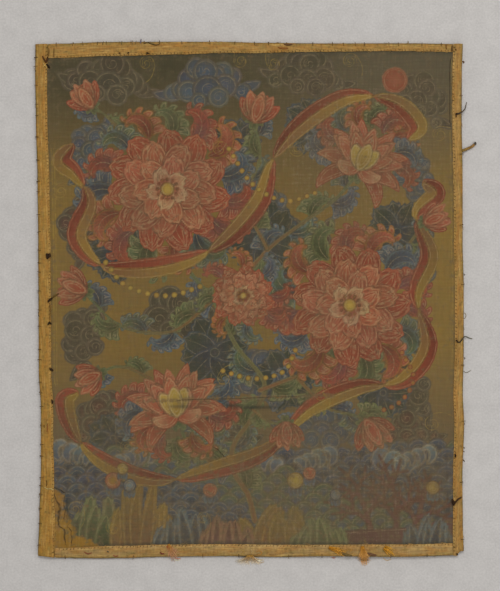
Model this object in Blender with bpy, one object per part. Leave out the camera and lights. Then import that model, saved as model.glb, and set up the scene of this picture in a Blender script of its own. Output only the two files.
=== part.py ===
"""A painted cloth panel that lies face up, bound all round with a narrow folded silk tape.

Metres, +Z up. The panel's middle is the origin, and its underside rests on z = 0. +Y is the top of the
picture and +X its right side. Every layer follows one gentle surface, `lift`, which is zero where the
cloth touches what it lies on.
"""

import math
from collections import namedtuple

import bmesh
import bpy

MM = 0.001

# Driving dimensions.
PANEL_WIDTH = 360 * MM
PANEL_HEIGHT = 434 * MM
CLOTH_THICKNESS = 1.0 * MM
TAPE_THICKNESS = 1.0 * MM
LAYER_GAP = 0.3 * MM
FOLD_INSIDE = 0.4 * MM  # from the cloth's edge to the inside of the tape's fold
FOLD_ROUND = 1.8 * MM  # how far the fold's curve reaches in from its outer face
BACK_FLAP_SHARE = 0.85  # the hidden flap's width, as a share of the flap that shows
EDGE_RUN = 16 * MM  # the cloth comes down from the tape to the surface within this

STACK = 2 * TAPE_THICKNESS + 2 * LAYER_GAP + CLOTH_THICKNESS
CLOTH_RISE = TAPE_THICKNESS + LAYER_GAP

# Outer edges of the bound panel: (place along the edge, offset outwards from the plain rectangle), in mm.
LEFT_EDGE = [(-217, -0.9), (-180, -2.0), (-140, -3.3), (-90, -3.2), (-60, -1.5), (0, -1.3), (50, -1.1),
             (100, -0.4), (150, 0.9), (190, 1.6), (217, 1.4)]
RIGHT_EDGE = [(-217, 0.2), (-190, -0.6), (-150, -1.0), (-104, 0.3), (-80, -0.7), (-40, 0.1), (10, 0.1),
              (50, -0.9), (110, -0.9), (150, -1.6), (190, -1.5), (217, -0.7)]
TOP_EDGE = [(-182, -0.9), (-157, -0.2), (-123, 1.1), (-60, 1.2), (-22, 1.2), (12, 0.4), (62, -0.1), (130, 0.0),
            (180, -0.6)]
BOTTOM_EDGE = [(-180, -1.9), (-160, 0.1), (-130, 0.7), (-105, 0.4), (-76, -0.7), (-20, -1.2), (25, -0.5),
               (67, -1.2), (126, -0.9), (175, -2.0)]

# Width of the tape's front flap: (place along the edge, width), in mm.
LEFT_TAPE = [(-217, 14.0), (-185, 13.6), (-160, 11.8), (-120, 10.6), (-60, 10.6), (40, 10.4), (90, 10.2),
             (150, 9.8), (217, 10.6)]
RIGHT_TAPE = [(-217, 9.2), (-150, 8.0), (-100, 8.3), (-40, 7.6), (60, 7.4), (120, 8.0), (217, 8.2)]
TOP_TAPE = [(-182, 12.2), (-110, 11.9), (-60, 10.8), (-20, 9.4), (60, 7.2), (110, 6.6), (180, 6.9)]
BOTTOM_TAPE = [(-182, 7.4), (-160, 8.5), (-120, 10.6), (-40, 10.3), (30, 10.5), (65, 9.9), (120, 10.6),
               (180, 10.4)]

# Soft folds that lift the cloth, in mm, with the heading of their length in degrees from +X.
Fold = namedtuple("Fold", "x y length half_width heading rise")
FOLDS = [
    Fold(128, -216, 220, 30, 0, 2.0),  # the bottom edge stands off the surface on the right
    Fold(-170, -205, 60, 26, 40, 1.4),  # the lower left corner has drawn up
    Fold(-62, 217, 150, 22, 0, 1.0),  # the top edge ripples
    Fold(180, -104, 80, 24, 90, 1.3),  # the right edge ripples twice
    Fold(181, 70, 130, 18, 90, 0.8),
    Fold(-179, 30, 150, 18, 90, 0.9),  # the left edge ripples
    Fold(-8, -84, 150, 11, 2, 1.1),  # a crease from rolling crosses below the middle
    Fold(66, 128, 120, 34, 24, 0.9),  # low swells in the painted field
    Fold(-74, 62, 110, 30, -62, 0.7),
]

# The torn lower right corner: the outline of the bite, in mm, running past the panel's edges.
BITE = [(174.9, -230), (190, -230), (190, -209.8), (177.0, -211.2), (174.9, -213.0)]
BITE_DEPTH = 20 * MM

# Stations along the panel, closer together beside the tape, and steps round the tape's fold.
STATIONS_X = 30
STATIONS_Y = 36
EDGE_CROWD = 0.62  # 0 spaces them evenly, 1 crowds them most at the edges
FOLD_STEPS = 4
REFINEMENTS = 3  # the edges bend, so a place between them is found in this many rounds

# Tufts of orange silk left in the bottom stitches, in mm. x and y are the middle of the root's upper side,
# spread is the strands' width at their ends, reach is how far they go past the root, and the heading is in
# degrees, 0 straight down the panel and positive towards the right.
Tuft = namedtuple("Tuft", "name x y root_width root_length strands spread reach heading")
TUFTS = [
    Tuft("tuft_bottom_1", -68.0, -211.6, 4.6, 3.4, 6, 13.0, 8.0, 32),
    Tuft("tuft_bottom_2", -1.0, -212.6, 7.6, 3.0, 9, 23.0, 9.0, 0),
    Tuft("tuft_bottom_3", 66.2, -209.6, 4.2, 4.6, 5, 6.0, 9.6, 70),
    Tuft("tuft_bottom_4", 96.2, -207.4, 5.6, 5.6, 7, 9.0, 12.4, 2),
    Tuft("tuft_bottom_5", 112.8, -207.8, 4.6, 4.0, 5, 7.6, 7.6, 30),
]
ROOT_THICKNESS = 0.9 * MM
ROOT_GATHER = 0.55  # the root's upper side, where a stitch holds it, as a share of its lower side
STRAND_THICKNESS = 0.75 * MM
STRAND_TAPER = 0.35  # share of its thickness that a strand loses
STRAND_SWAY = 0.4 * MM
STRAND_STEPS = 8
STRAND_FALL = 4.5 * MM  # a strand comes down from the tape to the surface within this
OUTER_SHORTER = 0.25  # how much shorter the outermost strands are than the middle one
EVERY_OTHER_SHORTER = 0.16

# Thread ends at the right edge: diameters at the root and at the tip, and a route of (x, y, height), in mm.
# The height is 0 on the surface and 1 on the tape's upper face.
Thread = namedtuple("Thread", "name finish root tip route")
THREADS = [
    Thread("thread_yellow_end", "yellow_yarn", 2.1, 1.3,
           [(179.9, 125.9, 0.20), (182.6, 127.2, 0.08), (185.4, 128.6, 0), (188.2, 130.6, 0), (190.4, 133.0, 0)]),
    Thread("thread_dark_upper", "dark_thread", 1.1, 0.8,
           [(173.0, 157.0, 1), (175.4, 157.4, 1), (178.0, 158.6, 1), (180.2, 160.6, 0.75), (181.6, 163.0, 0.28),
            (182.2, 165.2, 0), (182.8, 167.4, 0)]),
    Thread("thread_dark_hook", "dark_thread", 1.3, 0.7,
           [(173.6, -33.2, 1), (174.8, -35.0, 1), (176.8, -34.8, 1), (178.8, -32.2, 1), (180.8, -30.4, 0.8),
            (182.6, -30.6, 0.28), (184.6, -31.6, 0), (187.4, -32.4, 0)]),
]
THREAD_SIDES = 6

# Colour, as linear red, green and blue, and roughness.
FINISHES = {
    "painted_cotton": ((0.125, 0.093, 0.043), 0.85),
    "silk_tape": ((0.287, 0.162, 0.036), 0.6),
    "orange_silk": ((0.40, 0.16, 0.03), 0.5),
    "yellow_yarn": ((0.27, 0.17, 0.04), 0.7),
    "dark_thread": ((0.020, 0.013, 0.006), 0.7),
}


def smooth(t):
    """0 below 0 and 1 above 1, with an even S between."""
    t = min(max(t, 0.0), 1.0)
    return t * t * (3 - 2 * t)


def along(table, place):
    """The value of a (place, value) table, in metres, eased between its rows."""
    rows = [(p * MM, v * MM) for p, v in table]
    if place <= rows[0][0]:
        return rows[0][1]
    for (p0, v0), (p1, v1) in zip(rows, rows[1:]):
        if place <= p1:
            return v0 + (v1 - v0) * smooth((place - p0) / (p1 - p0))
    return rows[-1][1]


def left(y):
    return -PANEL_WIDTH / 2 - along(LEFT_EDGE, y)


def right(y):
    return PANEL_WIDTH / 2 + along(RIGHT_EDGE, y)


def top(x):
    return PANEL_HEIGHT / 2 + along(TOP_EDGE, x)


def bottom(x):
    return -PANEL_HEIGHT / 2 - along(BOTTOM_EDGE, x)


def lift(x, y):
    """Height of the lowest layer above the surface: each fold is a soft ridge that fades at its ends."""
    height = 0.0
    for fold in FOLDS:
        turn = math.radians(fold.heading)
        dx, dy = x - fold.x * MM, y - fold.y * MM
        lengthwise = abs(dx * math.cos(turn) + dy * math.sin(turn)) / (fold.length / 2 * MM)
        across = abs(dy * math.cos(turn) - dx * math.sin(turn)) / (fold.half_width * MM)
        height += fold.rise * MM * smooth(1 - lengthwise) * smooth(1 - across)
    return height


def tape_top(x, y):
    return lift(x, y) + STACK


def stations(count):
    """Shares from 0 to 1, closer together near both ends."""
    even = [i / count for i in range(count + 1)]
    return [EDGE_CROWD * (1 - math.cos(math.pi * t)) / 2 + (1 - EDGE_CROWD) * t for t in even]


def material(name):
    colour, roughness = FINISHES[name]
    made = bpy.data.materials.get(name) or bpy.data.materials.new(name)
    made.use_nodes = True
    shader = made.node_tree.nodes["Principled BSDF"]
    shader.inputs["Base Color"].default_value = (*colour, 1.0)
    shader.inputs["Roughness"].default_value = roughness
    shader.inputs["Metallic"].default_value = 0.0
    return made


def add_piece(name, points, faces, finish):
    """An object of these points and faces, with its faces turned outwards."""
    mesh = bpy.data.meshes.new(name)
    mesh.from_pydata(points, [], faces)
    turned = bmesh.new()
    turned.from_mesh(mesh)
    bmesh.ops.recalc_face_normals(turned, faces=turned.faces)
    turned.to_mesh(mesh)
    turned.free()
    mesh.materials.append(material(finish))
    made = bpy.data.objects.new(name, mesh)
    bpy.context.scene.collection.objects.link(made)
    return made


def cloth_place(u, v):
    """The point at shares u and v across and up the cloth, whose edges lie inside the tape's fold."""
    inset = TAPE_THICKNESS + FOLD_INSIDE
    x = y = 0.0
    for _ in range(REFINEMENTS):
        x0, x1 = left(y) + inset, right(y) - inset
        y0, y1 = bottom(x) + inset, top(x) - inset
        x, y = x0 + u * (x1 - x0), y0 + v * (y1 - y0)
    return x, y


def cloth_height(x, y):
    """The cloth lies on the tape's hidden flap near its edges, and comes down to the surface inside it."""
    spans = (
        (x - left(y), along(LEFT_TAPE, y)),
        (right(y) - x, along(RIGHT_TAPE, y)),
        (top(x) - y, along(TOP_TAPE, x)),
        (y - bottom(x), along(BOTTOM_TAPE, x)),
    )
    nearest = max(smooth(1 - (reach - flap) / EDGE_RUN) for reach, flap in spans)
    return lift(x, y) + CLOTH_RISE * nearest


def painted_cloth():
    """The panel: two copies of one grid, a thickness apart, closed round the rim, less the torn corner."""
    columns, rows = stations(STATIONS_X), stations(STATIONS_Y)
    places = [cloth_place(u, v) for v in rows for u in columns]
    points = [(x, y, cloth_height(x, y)) for x, y in places]
    points += [(x, y, z + CLOTH_THICKNESS) for x, y, z in points]
    wide, high, layer = len(columns), len(rows), len(places)
    faces = []
    for j in range(high - 1):
        for i in range(wide - 1):
            a = j * wide + i
            faces.append((a, a + 1, a + wide + 1, a + wide))
            faces.append((layer + a + wide, layer + a + wide + 1, layer + a + 1, layer + a))
    rim = list(range(wide))
    rim += [j * wide + wide - 1 for j in range(1, high)]
    rim += [(high - 1) * wide + i for i in range(wide - 2, -1, -1)]
    rim += [j * wide for j in range(high - 2, 0, -1)]
    for a, b in zip(rim, rim[1:] + rim[:1]):
        faces.append((b, a, layer + a, layer + b))
    panel = add_piece("painted_cloth", points, faces, "painted_cotton")
    tear_corner(panel, LAYER_GAP)


def tear_corner(piece, grow):
    """Cuts the torn lower right corner out of a piece, with the bite moved up and left by grow."""
    outline = [(x * MM - grow, y * MM + grow) for x, y in BITE]
    count = len(outline)
    points = [(x, y, -BITE_DEPTH / 2) for x, y in outline] + [(x, y, BITE_DEPTH / 2) for x, y in outline]
    faces = [tuple(range(count)), tuple(range(count, 2 * count))]
    faces += [(i, (i + 1) % count, count + (i + 1) % count, count + i) for i in range(count)]
    cutter = add_piece("bite_" + piece.name, points, faces, "silk_tape")
    cutter.hide_render = True
    cutter.display_type = "WIRE"
    cut = piece.modifiers.new("torn corner", "BOOLEAN")
    cut.operation = "DIFFERENCE"
    cut.object = cutter


def tape_section(front):
    """The folded tape's outline, as (distance in from the fold's outer face, height) pairs.

    It runs over the front flap, round the fold and under the hidden flap, and back along the inner sides.
    """
    back = front * BACK_FLAP_SHARE
    mid_front, mid_back = (front + FOLD_ROUND) / 2, (back + FOLD_ROUND) / 2
    middle, hollow = STACK / 2, STACK / 2 - TAPE_THICKNESS
    turns = [math.pi * i / FOLD_STEPS for i in range(FOLD_STEPS + 1)]
    outer = [(FOLD_ROUND * (1 - math.sin(a)), middle + middle * math.cos(a)) for a in turns]
    inner = [(FOLD_ROUND - (FOLD_ROUND - TAPE_THICKNESS) * math.sin(a), middle + hollow * math.cos(a))
             for a in reversed(turns)]
    outside = [(front, STACK), (mid_front, STACK), *outer, (mid_back, 0.0), (back, 0.0)]
    inside = [(back, TAPE_THICKNESS), (mid_back, TAPE_THICKNESS), *inner,
              (mid_front, STACK - TAPE_THICKNESS), (front, STACK - TAPE_THICKNESS)]
    return outside + inside


def tape_strip(name, shares, flap, place):
    """A tape strip: the folded section carried along the panel's edge.

    flap(x, y) is the front flap's width there, and place(t, reach) the point at share t along the edge,
    reach in from its outer face.
    """
    sections = [tape_section(flap(*place(t, 0.0))) for t in shares]
    size = len(sections[0])
    points = []
    for t, section in zip(shares, sections):
        for reach, height in section:
            x, y = place(t, reach)
            points.append((x, y, lift(x, y) + height))
    faces = []
    for first in range(0, size * (len(shares) - 1), size):
        for i in range(size):
            a, b = first + i, first + (i + 1) % size
            faces.append((a, b, b + size, a + size))
    for first in (0, size * (len(shares) - 1)):  # the ends: outer and inner points lie in pairs
        for i in range(size // 2 - 1):
            faces.append((first + i, first + i + 1, first + size - 2 - i, first + size - 1 - i))
    return add_piece(name, points, faces, "silk_tape")


def side_place(edge_x):
    """Gives place(t, reach) for a side strip, which runs the panel's full height."""
    def place(t, reach):
        x = y = 0.0
        for _ in range(REFINEMENTS):
            x = edge_x(y, reach)
            y = bottom(x) + t * (top(x) - bottom(x))
        return x, y
    return place


def end_place(edge_y):
    """Gives place(t, reach) for a top or bottom strip, which butts between the side strips."""
    def place(t, reach):
        x = y = 0.0
        for _ in range(REFINEMENTS):
            y = edge_y(x, reach)
            start = left(y) + along(LEFT_TAPE, y) + LAYER_GAP
            end = right(y) - along(RIGHT_TAPE, y) - LAYER_GAP
            x = start + t * (end - start)
        return x, edge_y(x, reach)
    return place


def binding():
    """The four tape strips, the right one torn at its lower end."""
    rows, columns = stations(STATIONS_Y), stations(STATIONS_X)
    tape_strip("binding_left", rows, lambda x, y: along(LEFT_TAPE, y),
               side_place(lambda y, reach: left(y) + reach))
    torn = tape_strip("binding_right", rows, lambda x, y: along(RIGHT_TAPE, y),
                      side_place(lambda y, reach: right(y) - reach))
    tear_corner(torn, 0.0)
    tape_strip("binding_top", columns, lambda x, y: along(TOP_TAPE, x),
               end_place(lambda x, reach: top(x) - reach))
    tape_strip("binding_bottom", columns, lambda x, y: along(BOTTOM_TAPE, x),
               end_place(lambda x, reach: bottom(x) + reach))


def strand_height(x, y):
    """Underside of a strand that leaves the tape's upper face over the bottom edge and comes to rest."""
    past = bottom(x) - y + FOLD_INSIDE
    return (tape_top(x, y) + LAYER_GAP) * (1 - smooth(past / STRAND_FALL))


def tuft(row):
    """A flat root, gathered at its upper side, with a comb of square strands.

    Each strand grows from its own cell of the root's lower side, and they part and sway as they go.
    """
    width, length, spread, reach = (v * MM for v in (row.root_width, row.root_length, row.spread, row.reach))
    turn = math.radians(row.heading)

    def place(side, down):
        """The point side across the tuft and down along it, from the middle of the root's upper side."""
        x = row.x * MM + side * math.cos(turn) + down * math.sin(turn)
        y = row.y * MM + side * math.sin(turn) - down * math.cos(turn)
        return x, y

    cells = 2 * row.strands - 1
    line = cells + 1
    points, faces = [], []
    for down, gather in ((0.0, ROOT_GATHER), (length, 1.0)):
        for up in (0.0, ROOT_THICKNESS):
            for i in range(line):
                x, y = place(width * gather * (i / cells - 0.5), down)
                points.append((x, y, tape_top(x, y) + LAYER_GAP + up))
    for i in range(cells):
        faces.append((i, i + 1, line + i + 1, line + i))
        faces.append((i, 2 * line + i, 2 * line + i + 1, i + 1))
        faces.append((line + i, line + i + 1, 3 * line + i + 1, 3 * line + i))
        if i % 2:  # an odd cell is the space between two strands
            faces.append((2 * line + i, 3 * line + i, 3 * line + i + 1, 2 * line + i + 1))
    faces.append((0, line, 3 * line, 2 * line))
    faces.append((cells, 2 * line + cells, 3 * line + cells, line + cells))

    for k in range(row.strands):
        share = k / (row.strands - 1) - 0.5
        full = reach * (1 - 2 * OUTER_SHORTER * abs(share) - EVERY_OTHER_SHORTER * (k % 2))
        ring = [2 * line + 2 * k, 2 * line + 2 * k + 1, 3 * line + 2 * k + 1, 3 * line + 2 * k]
        for step in range(1, STRAND_STEPS + 1):
            t = step / STRAND_STEPS
            sway = STRAND_SWAY * t * math.sin(4 * t + 0.6 * k)
            middle = width * share * (cells - 1) / cells + (spread - width) * share * t * t + sway
            thick = STRAND_THICKNESS * (1 - STRAND_TAPER * t)
            half = max(thick, width / cells * (1 - t)) / 2
            corners = [place(middle - half, length + full * t), place(middle + half, length + full * t)]
            under = [(x, y, strand_height(x, y)) for x, y in corners]
            fresh = list(range(len(points), len(points) + 4))
            points += under + [(x, y, z + thick) for x, y, z in reversed(under)]
            for a in range(4):
                b = (a + 1) % 4
                faces.append((ring[a], ring[b], fresh[b], fresh[a]))
            ring = fresh
        faces.append(tuple(ring))
    add_piece(row.name, points, faces, "orange_silk")


def thread(row):
    """A thread end: rings of points along the route, each upright and square to its way in plan."""
    points, faces = [], []
    last = len(row.route) - 1
    for k, (x, y, height) in enumerate(row.route):
        before, after = row.route[max(k - 1, 0)], row.route[min(k + 1, last)]
        heading = math.atan2(after[1] - before[1], after[0] - before[0])
        radius = (row.root + (row.tip - row.root) * k / last) / 2 * MM
        under = height * (tape_top(x * MM, y * MM) + LAYER_GAP)
        middle = under + radius * math.cos(math.pi / THREAD_SIDES)
        for s in range(THREAD_SIDES):
            turn = math.tau * (s + 0.5) / THREAD_SIDES - math.pi / 2
            side = radius * math.cos(turn)
            points.append((x * MM - side * math.sin(heading), y * MM + side * math.cos(heading),
                           middle + radius * math.sin(turn)))
    for first in range(0, last * THREAD_SIDES, THREAD_SIDES):
        for s in range(THREAD_SIDES):
            a, b = first + s, first + (s + 1) % THREAD_SIDES
            faces.append((a, b, b + THREAD_SIDES, a + THREAD_SIDES))
    faces.append(tuple(range(THREAD_SIDES)))
    faces.append(tuple(range(last * THREAD_SIDES, len(points))))
    add_piece(row.name, points, faces, row.finish)


def main():
    for old in list(bpy.data.objects):
        bpy.data.objects.remove(old)
    painted_cloth()
    binding()
    for row in TUFTS:
        tuft(row)
    for row in THREADS:
        thread(row)


main()
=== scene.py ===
"""Builds a worn painted cloth panel, bound with a sewn silk tape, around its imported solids.

The panel is sized cotton, painted in distemper and lying face up. A narrow ochre silk tape is folded round
each edge and sewn down by hand, and a few silk tufts, knots and thread ends are left in the seams. Lengths
are in millimetres unless metres are named. +X is the picture's right side and +Y its top, and the panel lies
on the surface z = 0.
"""

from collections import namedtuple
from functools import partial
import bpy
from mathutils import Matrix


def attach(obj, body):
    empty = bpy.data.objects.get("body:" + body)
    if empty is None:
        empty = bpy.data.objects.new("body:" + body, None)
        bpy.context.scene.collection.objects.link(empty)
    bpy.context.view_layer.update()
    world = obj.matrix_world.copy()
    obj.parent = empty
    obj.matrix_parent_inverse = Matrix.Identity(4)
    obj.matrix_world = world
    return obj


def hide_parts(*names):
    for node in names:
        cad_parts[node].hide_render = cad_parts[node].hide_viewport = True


bl_info = {
    "name": "Painted Scroll Panel",
    "version": (1, 0, 0),
    "blender": (4, 5, 0),
    "location": "View3D > Sidebar > Scroll Panel",
    "description": "Worn painted cotton panel with a sewn silk tape, tufts and thread ends",
    "category": "Object",
}

import bpy
import numpy as np

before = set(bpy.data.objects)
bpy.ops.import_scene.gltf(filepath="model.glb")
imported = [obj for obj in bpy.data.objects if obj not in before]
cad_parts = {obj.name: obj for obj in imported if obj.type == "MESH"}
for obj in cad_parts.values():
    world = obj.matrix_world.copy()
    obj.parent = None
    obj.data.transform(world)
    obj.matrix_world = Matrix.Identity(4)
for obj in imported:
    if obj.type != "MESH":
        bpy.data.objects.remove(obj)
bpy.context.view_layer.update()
MM = 0.001

# ------------------------------------------------------------------ sizes that the solids share, in mm
PANEL_WIDTH = 360.0
PANEL_HEIGHT = 434.0
STACK = 3.6  # height of the tape's upper face over the lowest layer
CLOTH_RISE = 1.3  # height of the cloth where it lies on the tape's hidden flap
EDGE_INSET = 1.4  # from the fold's outer face to the cloth's edge
FOLD_ROUND = 1.8  # how far the fold's curve reaches in from its outer face
FOLD_LIP = 0.4  # the outermost part of the fold, too steep for anything to rest on
BACK_FLAP_SHARE = 0.85  # the hidden flap's width, as a share of the flap that shows
EDGE_RUN = 16.0  # the cloth comes down from the tape to the surface within this
GAP = 0.3  # between layers that touch
ROUNDS = 3  # the edges bend, so a place between them is found in this many rounds

# Outer edges of the bound panel: (place along the edge, offset outwards from the plain rectangle).
LEFT_EDGE = [(-217, -0.9), (-180, -2.0), (-140, -3.3), (-90, -3.2), (-60, -1.5), (0, -1.3), (50, -1.1),
             (100, -0.4), (150, 0.9), (190, 1.6), (217, 1.4)]
RIGHT_EDGE = [(-217, 0.2), (-190, -0.6), (-150, -1.0), (-104, 0.3), (-80, -0.7), (-40, 0.1), (10, 0.1),
              (50, -0.9), (110, -0.9), (150, -1.6), (190, -1.5), (217, -0.7)]
TOP_EDGE = [(-182, -0.9), (-157, -0.2), (-123, 1.1), (-60, 1.2), (-22, 1.2), (12, 0.4), (62, -0.1),
            (130, 0.0), (180, -0.6)]
BOTTOM_EDGE = [(-180, -1.9), (-160, 0.1), (-130, 0.7), (-105, 0.4), (-76, -0.7), (-20, -1.2), (25, -0.5),
               (67, -1.2), (126, -0.9), (175, -2.0)]

# Width of the tape's front flap: (place along the edge, width).
LEFT_TAPE = [(-217, 14.0), (-185, 13.6), (-160, 11.8), (-120, 10.6), (-60, 10.6), (40, 10.4), (90, 10.2),
             (150, 9.8), (217, 10.6)]
RIGHT_TAPE = [(-217, 9.2), (-150, 8.0), (-100, 8.3), (-40, 7.6), (60, 7.4), (120, 8.0), (217, 8.2)]
TOP_TAPE = [(-182, 12.2), (-110, 11.9), (-60, 10.8), (-20, 9.4), (60, 7.2), (110, 6.6), (180, 6.9)]
BOTTOM_TAPE = [(-182, 7.4), (-160, 8.5), (-120, 10.6), (-40, 10.3), (30, 10.5), (65, 9.9), (120, 10.6),
               (180, 10.4)]

# Soft folds that lift the cloth: x, y, length, half width, heading in degrees from +X, rise.
FOLDS = [
    (128, -216, 220, 30, 0, 2.0),  # the bottom edge stands off the surface on the right
    (-170, -205, 60, 26, 40, 1.4),  # the lower left corner has drawn up
    (-62, 217, 150, 22, 0, 1.0),  # the top edge ripples
    (180, -104, 80, 24, 90, 1.3),  # the right edge ripples twice
    (181, 70, 130, 18, 90, 0.8),
    (-179, 30, 150, 18, 90, 0.9),  # the left edge ripples
    (-8, -84, 150, 11, 2, 1.1),  # a crease from rolling crosses below the middle
    (66, 128, 120, 34, 24, 0.9),  # low swells in the painted field
    (-74, 62, 110, 30, -62, 0.7),
]

# Where the lower right corner is torn off: (x, lowest y), running past the bottom and right edges.
BITE = [(173.9, -230.0), (174.9, -213.0), (177.0, -211.2), (190.0, -209.8)]


# ------------------------------------------------------------------ curves and surfaces
def linear(code):
    """Linear red, green and blue of an sRGB hex colour."""
    share = np.array([int(code[i:i + 2], 16) for i in (1, 3, 5)]) / 255
    return np.where(share <= 0.04045, share / 12.92, ((share + 0.055) / 1.055) ** 2.4).tolist()


def smooth(t):
    """0 below 0 and 1 above 1, with an even S between."""
    t = np.clip(t, 0.0, 1.0)
    return t * t * (3 - 2 * t)


def along(table, place):
    """The value of a (place, value) table, eased between its rows."""
    places, values = np.array(table, float).T
    place = np.clip(place, places[0], places[-1])
    row = np.clip(np.searchsorted(places, place, side="right") - 1, 0, len(places) - 2)
    share = (place - places[row]) / (places[row + 1] - places[row])
    return values[row] + (values[row + 1] - values[row]) * smooth(share)


def left(y):
    return -PANEL_WIDTH / 2 - along(LEFT_EDGE, y)


def right(y):
    return PANEL_WIDTH / 2 + along(RIGHT_EDGE, y)


def top(x):
    return PANEL_HEIGHT / 2 + along(TOP_EDGE, x)


def bottom(x):
    return -PANEL_HEIGHT / 2 - along(BOTTOM_EDGE, x)


def lift(x, y):
    """Height of the lowest layer: each fold is a soft ridge, an S across it and an S towards its ends."""
    height = 0.0
    for fold_x, fold_y, length, half_width, heading, rise in FOLDS:
        turn = np.radians(heading)
        dx, dy = x - fold_x, y - fold_y
        lengthwise = np.abs(dx * np.cos(turn) + dy * np.sin(turn)) / (length / 2)
        across = np.abs(dy * np.cos(turn) - dx * np.sin(turn)) / half_width
        height = height + rise * smooth(1 - lengthwise) * smooth(1 - across)
    return height


def past_tape(x, y):
    """Distance from the front flap's inner edge, inwards, at the nearest of the four sides."""
    return np.minimum.reduce([
        x - left(y) - along(LEFT_TAPE, y),
        right(y) - x - along(RIGHT_TAPE, y),
        top(x) - y - along(TOP_TAPE, x),
        y - bottom(x) - along(BOTTOM_TAPE, x),
    ])


def cloth_height(x, y):
    """The cloth's underside: on the tape's hidden flap near its edges, and down on the surface inside it."""
    return lift(x, y) + CLOTH_RISE * smooth(1 - past_tape(x, y) / EDGE_RUN)


def ripple(x, y, size):
    """An even, patternless unevenness from 0 to 1: five sine waves of about one size, turned apart."""
    total = 0.0
    for k in range(5):
        turn = 1.1 + 2.4 * k
        phase = 1.7 * k * k + 0.4
        way = x * np.cos(turn) + y * np.sin(turn)
        total = total + np.sin(way * (2 * np.pi / size) * (1 + 0.13 * k) + phase)
    return 0.5 + total / 10


def resting_height(x, y):
    """Height of what shows from above: the tape, the cloth inside it, or the surface outside it."""
    inside = np.minimum.reduce([x - left(y), right(y) - x, top(x) - y, y - bottom(x)])
    fold = STACK * np.sqrt(np.clip(1 - (1 - np.clip(inside / FOLD_ROUND, 0, 1)) ** 2, 0, 1))
    tape = (lift(x, y) + fold) * smooth(inside / FOLD_LIP)
    cloth = cloth_height(x, y) + sizes().cloth_thickness / MM
    return np.where(inside < 0, 0.0, np.where(past_tape(x, y) > 0, cloth, np.maximum(tape, 0)))


def curve(points, steps):
    """A smooth curve through points: each stretch is a cubic whose slopes come from its neighbours."""
    points = np.asarray(points, float)
    padded = np.vstack([2 * points[0] - points[1], points, 2 * points[-1] - points[-2]])
    place = np.linspace(0, len(points) - 1, steps)
    row = np.minimum(place.astype(int), len(points) - 2)
    t = (place - row)[:, None]
    before, start, end, after = (padded[row + k] for k in range(4))
    slope_in, slope_out = (end - before) / 2, (after - start) / 2
    return ((2 * t ** 3 - 3 * t ** 2 + 1) * start + (t ** 3 - 2 * t ** 2 + t) * slope_in
            + (3 * t ** 2 - 2 * t ** 3) * end + (t ** 3 - t ** 2) * slope_out)


def bend(x, y, heading, length, curl, steps=9):
    """A stroke that leaves (x, y) at a heading and turns by curl degrees, faster towards its tip."""
    share = np.linspace(0, 1, steps)
    turn = np.radians(heading + curl * share ** 1.5)
    moves = np.stack([np.cos(turn), np.sin(turn)], 1) * length / (steps - 1)
    return np.array([x, y]) + np.vstack([[0, 0], np.cumsum((moves[:-1] + moves[1:]) / 2, 0)])


def spiral(x, y, radii, angles, steps):
    """Points round (x, y), the radius and the angle in degrees going evenly from first to last."""
    radius = np.linspace(*radii, steps)
    angle = np.radians(np.linspace(*angles, steps))
    return np.stack([x + radius * np.cos(angle), y + radius * np.sin(angle)], 1)


def swell(steps, first, last, power=0.8):
    """Half widths along a stroke: the part of a sine arch from first to last, both as shares of the arch."""
    return np.maximum(np.sin(np.pi * np.linspace(first, last, steps)), 0.001) ** power


def put_mesh(name, points, faces, materials, face_materials=None, **fields):
    """A smooth object of points in mm, with one value or vector per point in each named attribute."""
    mesh = bpy.data.meshes.new(name)
    mesh.from_pydata(np.asarray(points, float) * MM, [], faces)
    for made in materials:
        mesh.materials.append(made)
    if face_materials is not None:
        mesh.polygons.foreach_set("material_index", np.asarray(face_materials, np.int32))
    for key, values in fields.items():
        values = np.asarray(values, np.float32)
        kind, slot = ("FLOAT", "value") if values.ndim == 1 else ("FLOAT_VECTOR", "vector")
        mesh.attributes.new(key, kind, "POINT").data.foreach_set(slot, values.ravel())
    mesh.polygons.foreach_set("use_smooth", np.ones(len(faces), bool))
    mesh.update()
    piece = bpy.data.objects.new(name, mesh)
    bpy.context.scene.collection.objects.link(piece)
    return piece


def grid_faces(rows, columns, first=0, closed=False):
    """Quads of a grid of points held row by row; closed joins the last column to the first."""
    i, j = np.meshgrid(np.arange(rows - 1), np.arange(columns - (0 if closed else 1)), indexing="ij")
    k = (j + 1) % columns
    corners = np.stack([i * columns + j, i * columns + k, (i + 1) * columns + k, (i + 1) * columns + j], -1)
    return (corners.reshape(-1, 4) + first).tolist()


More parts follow.
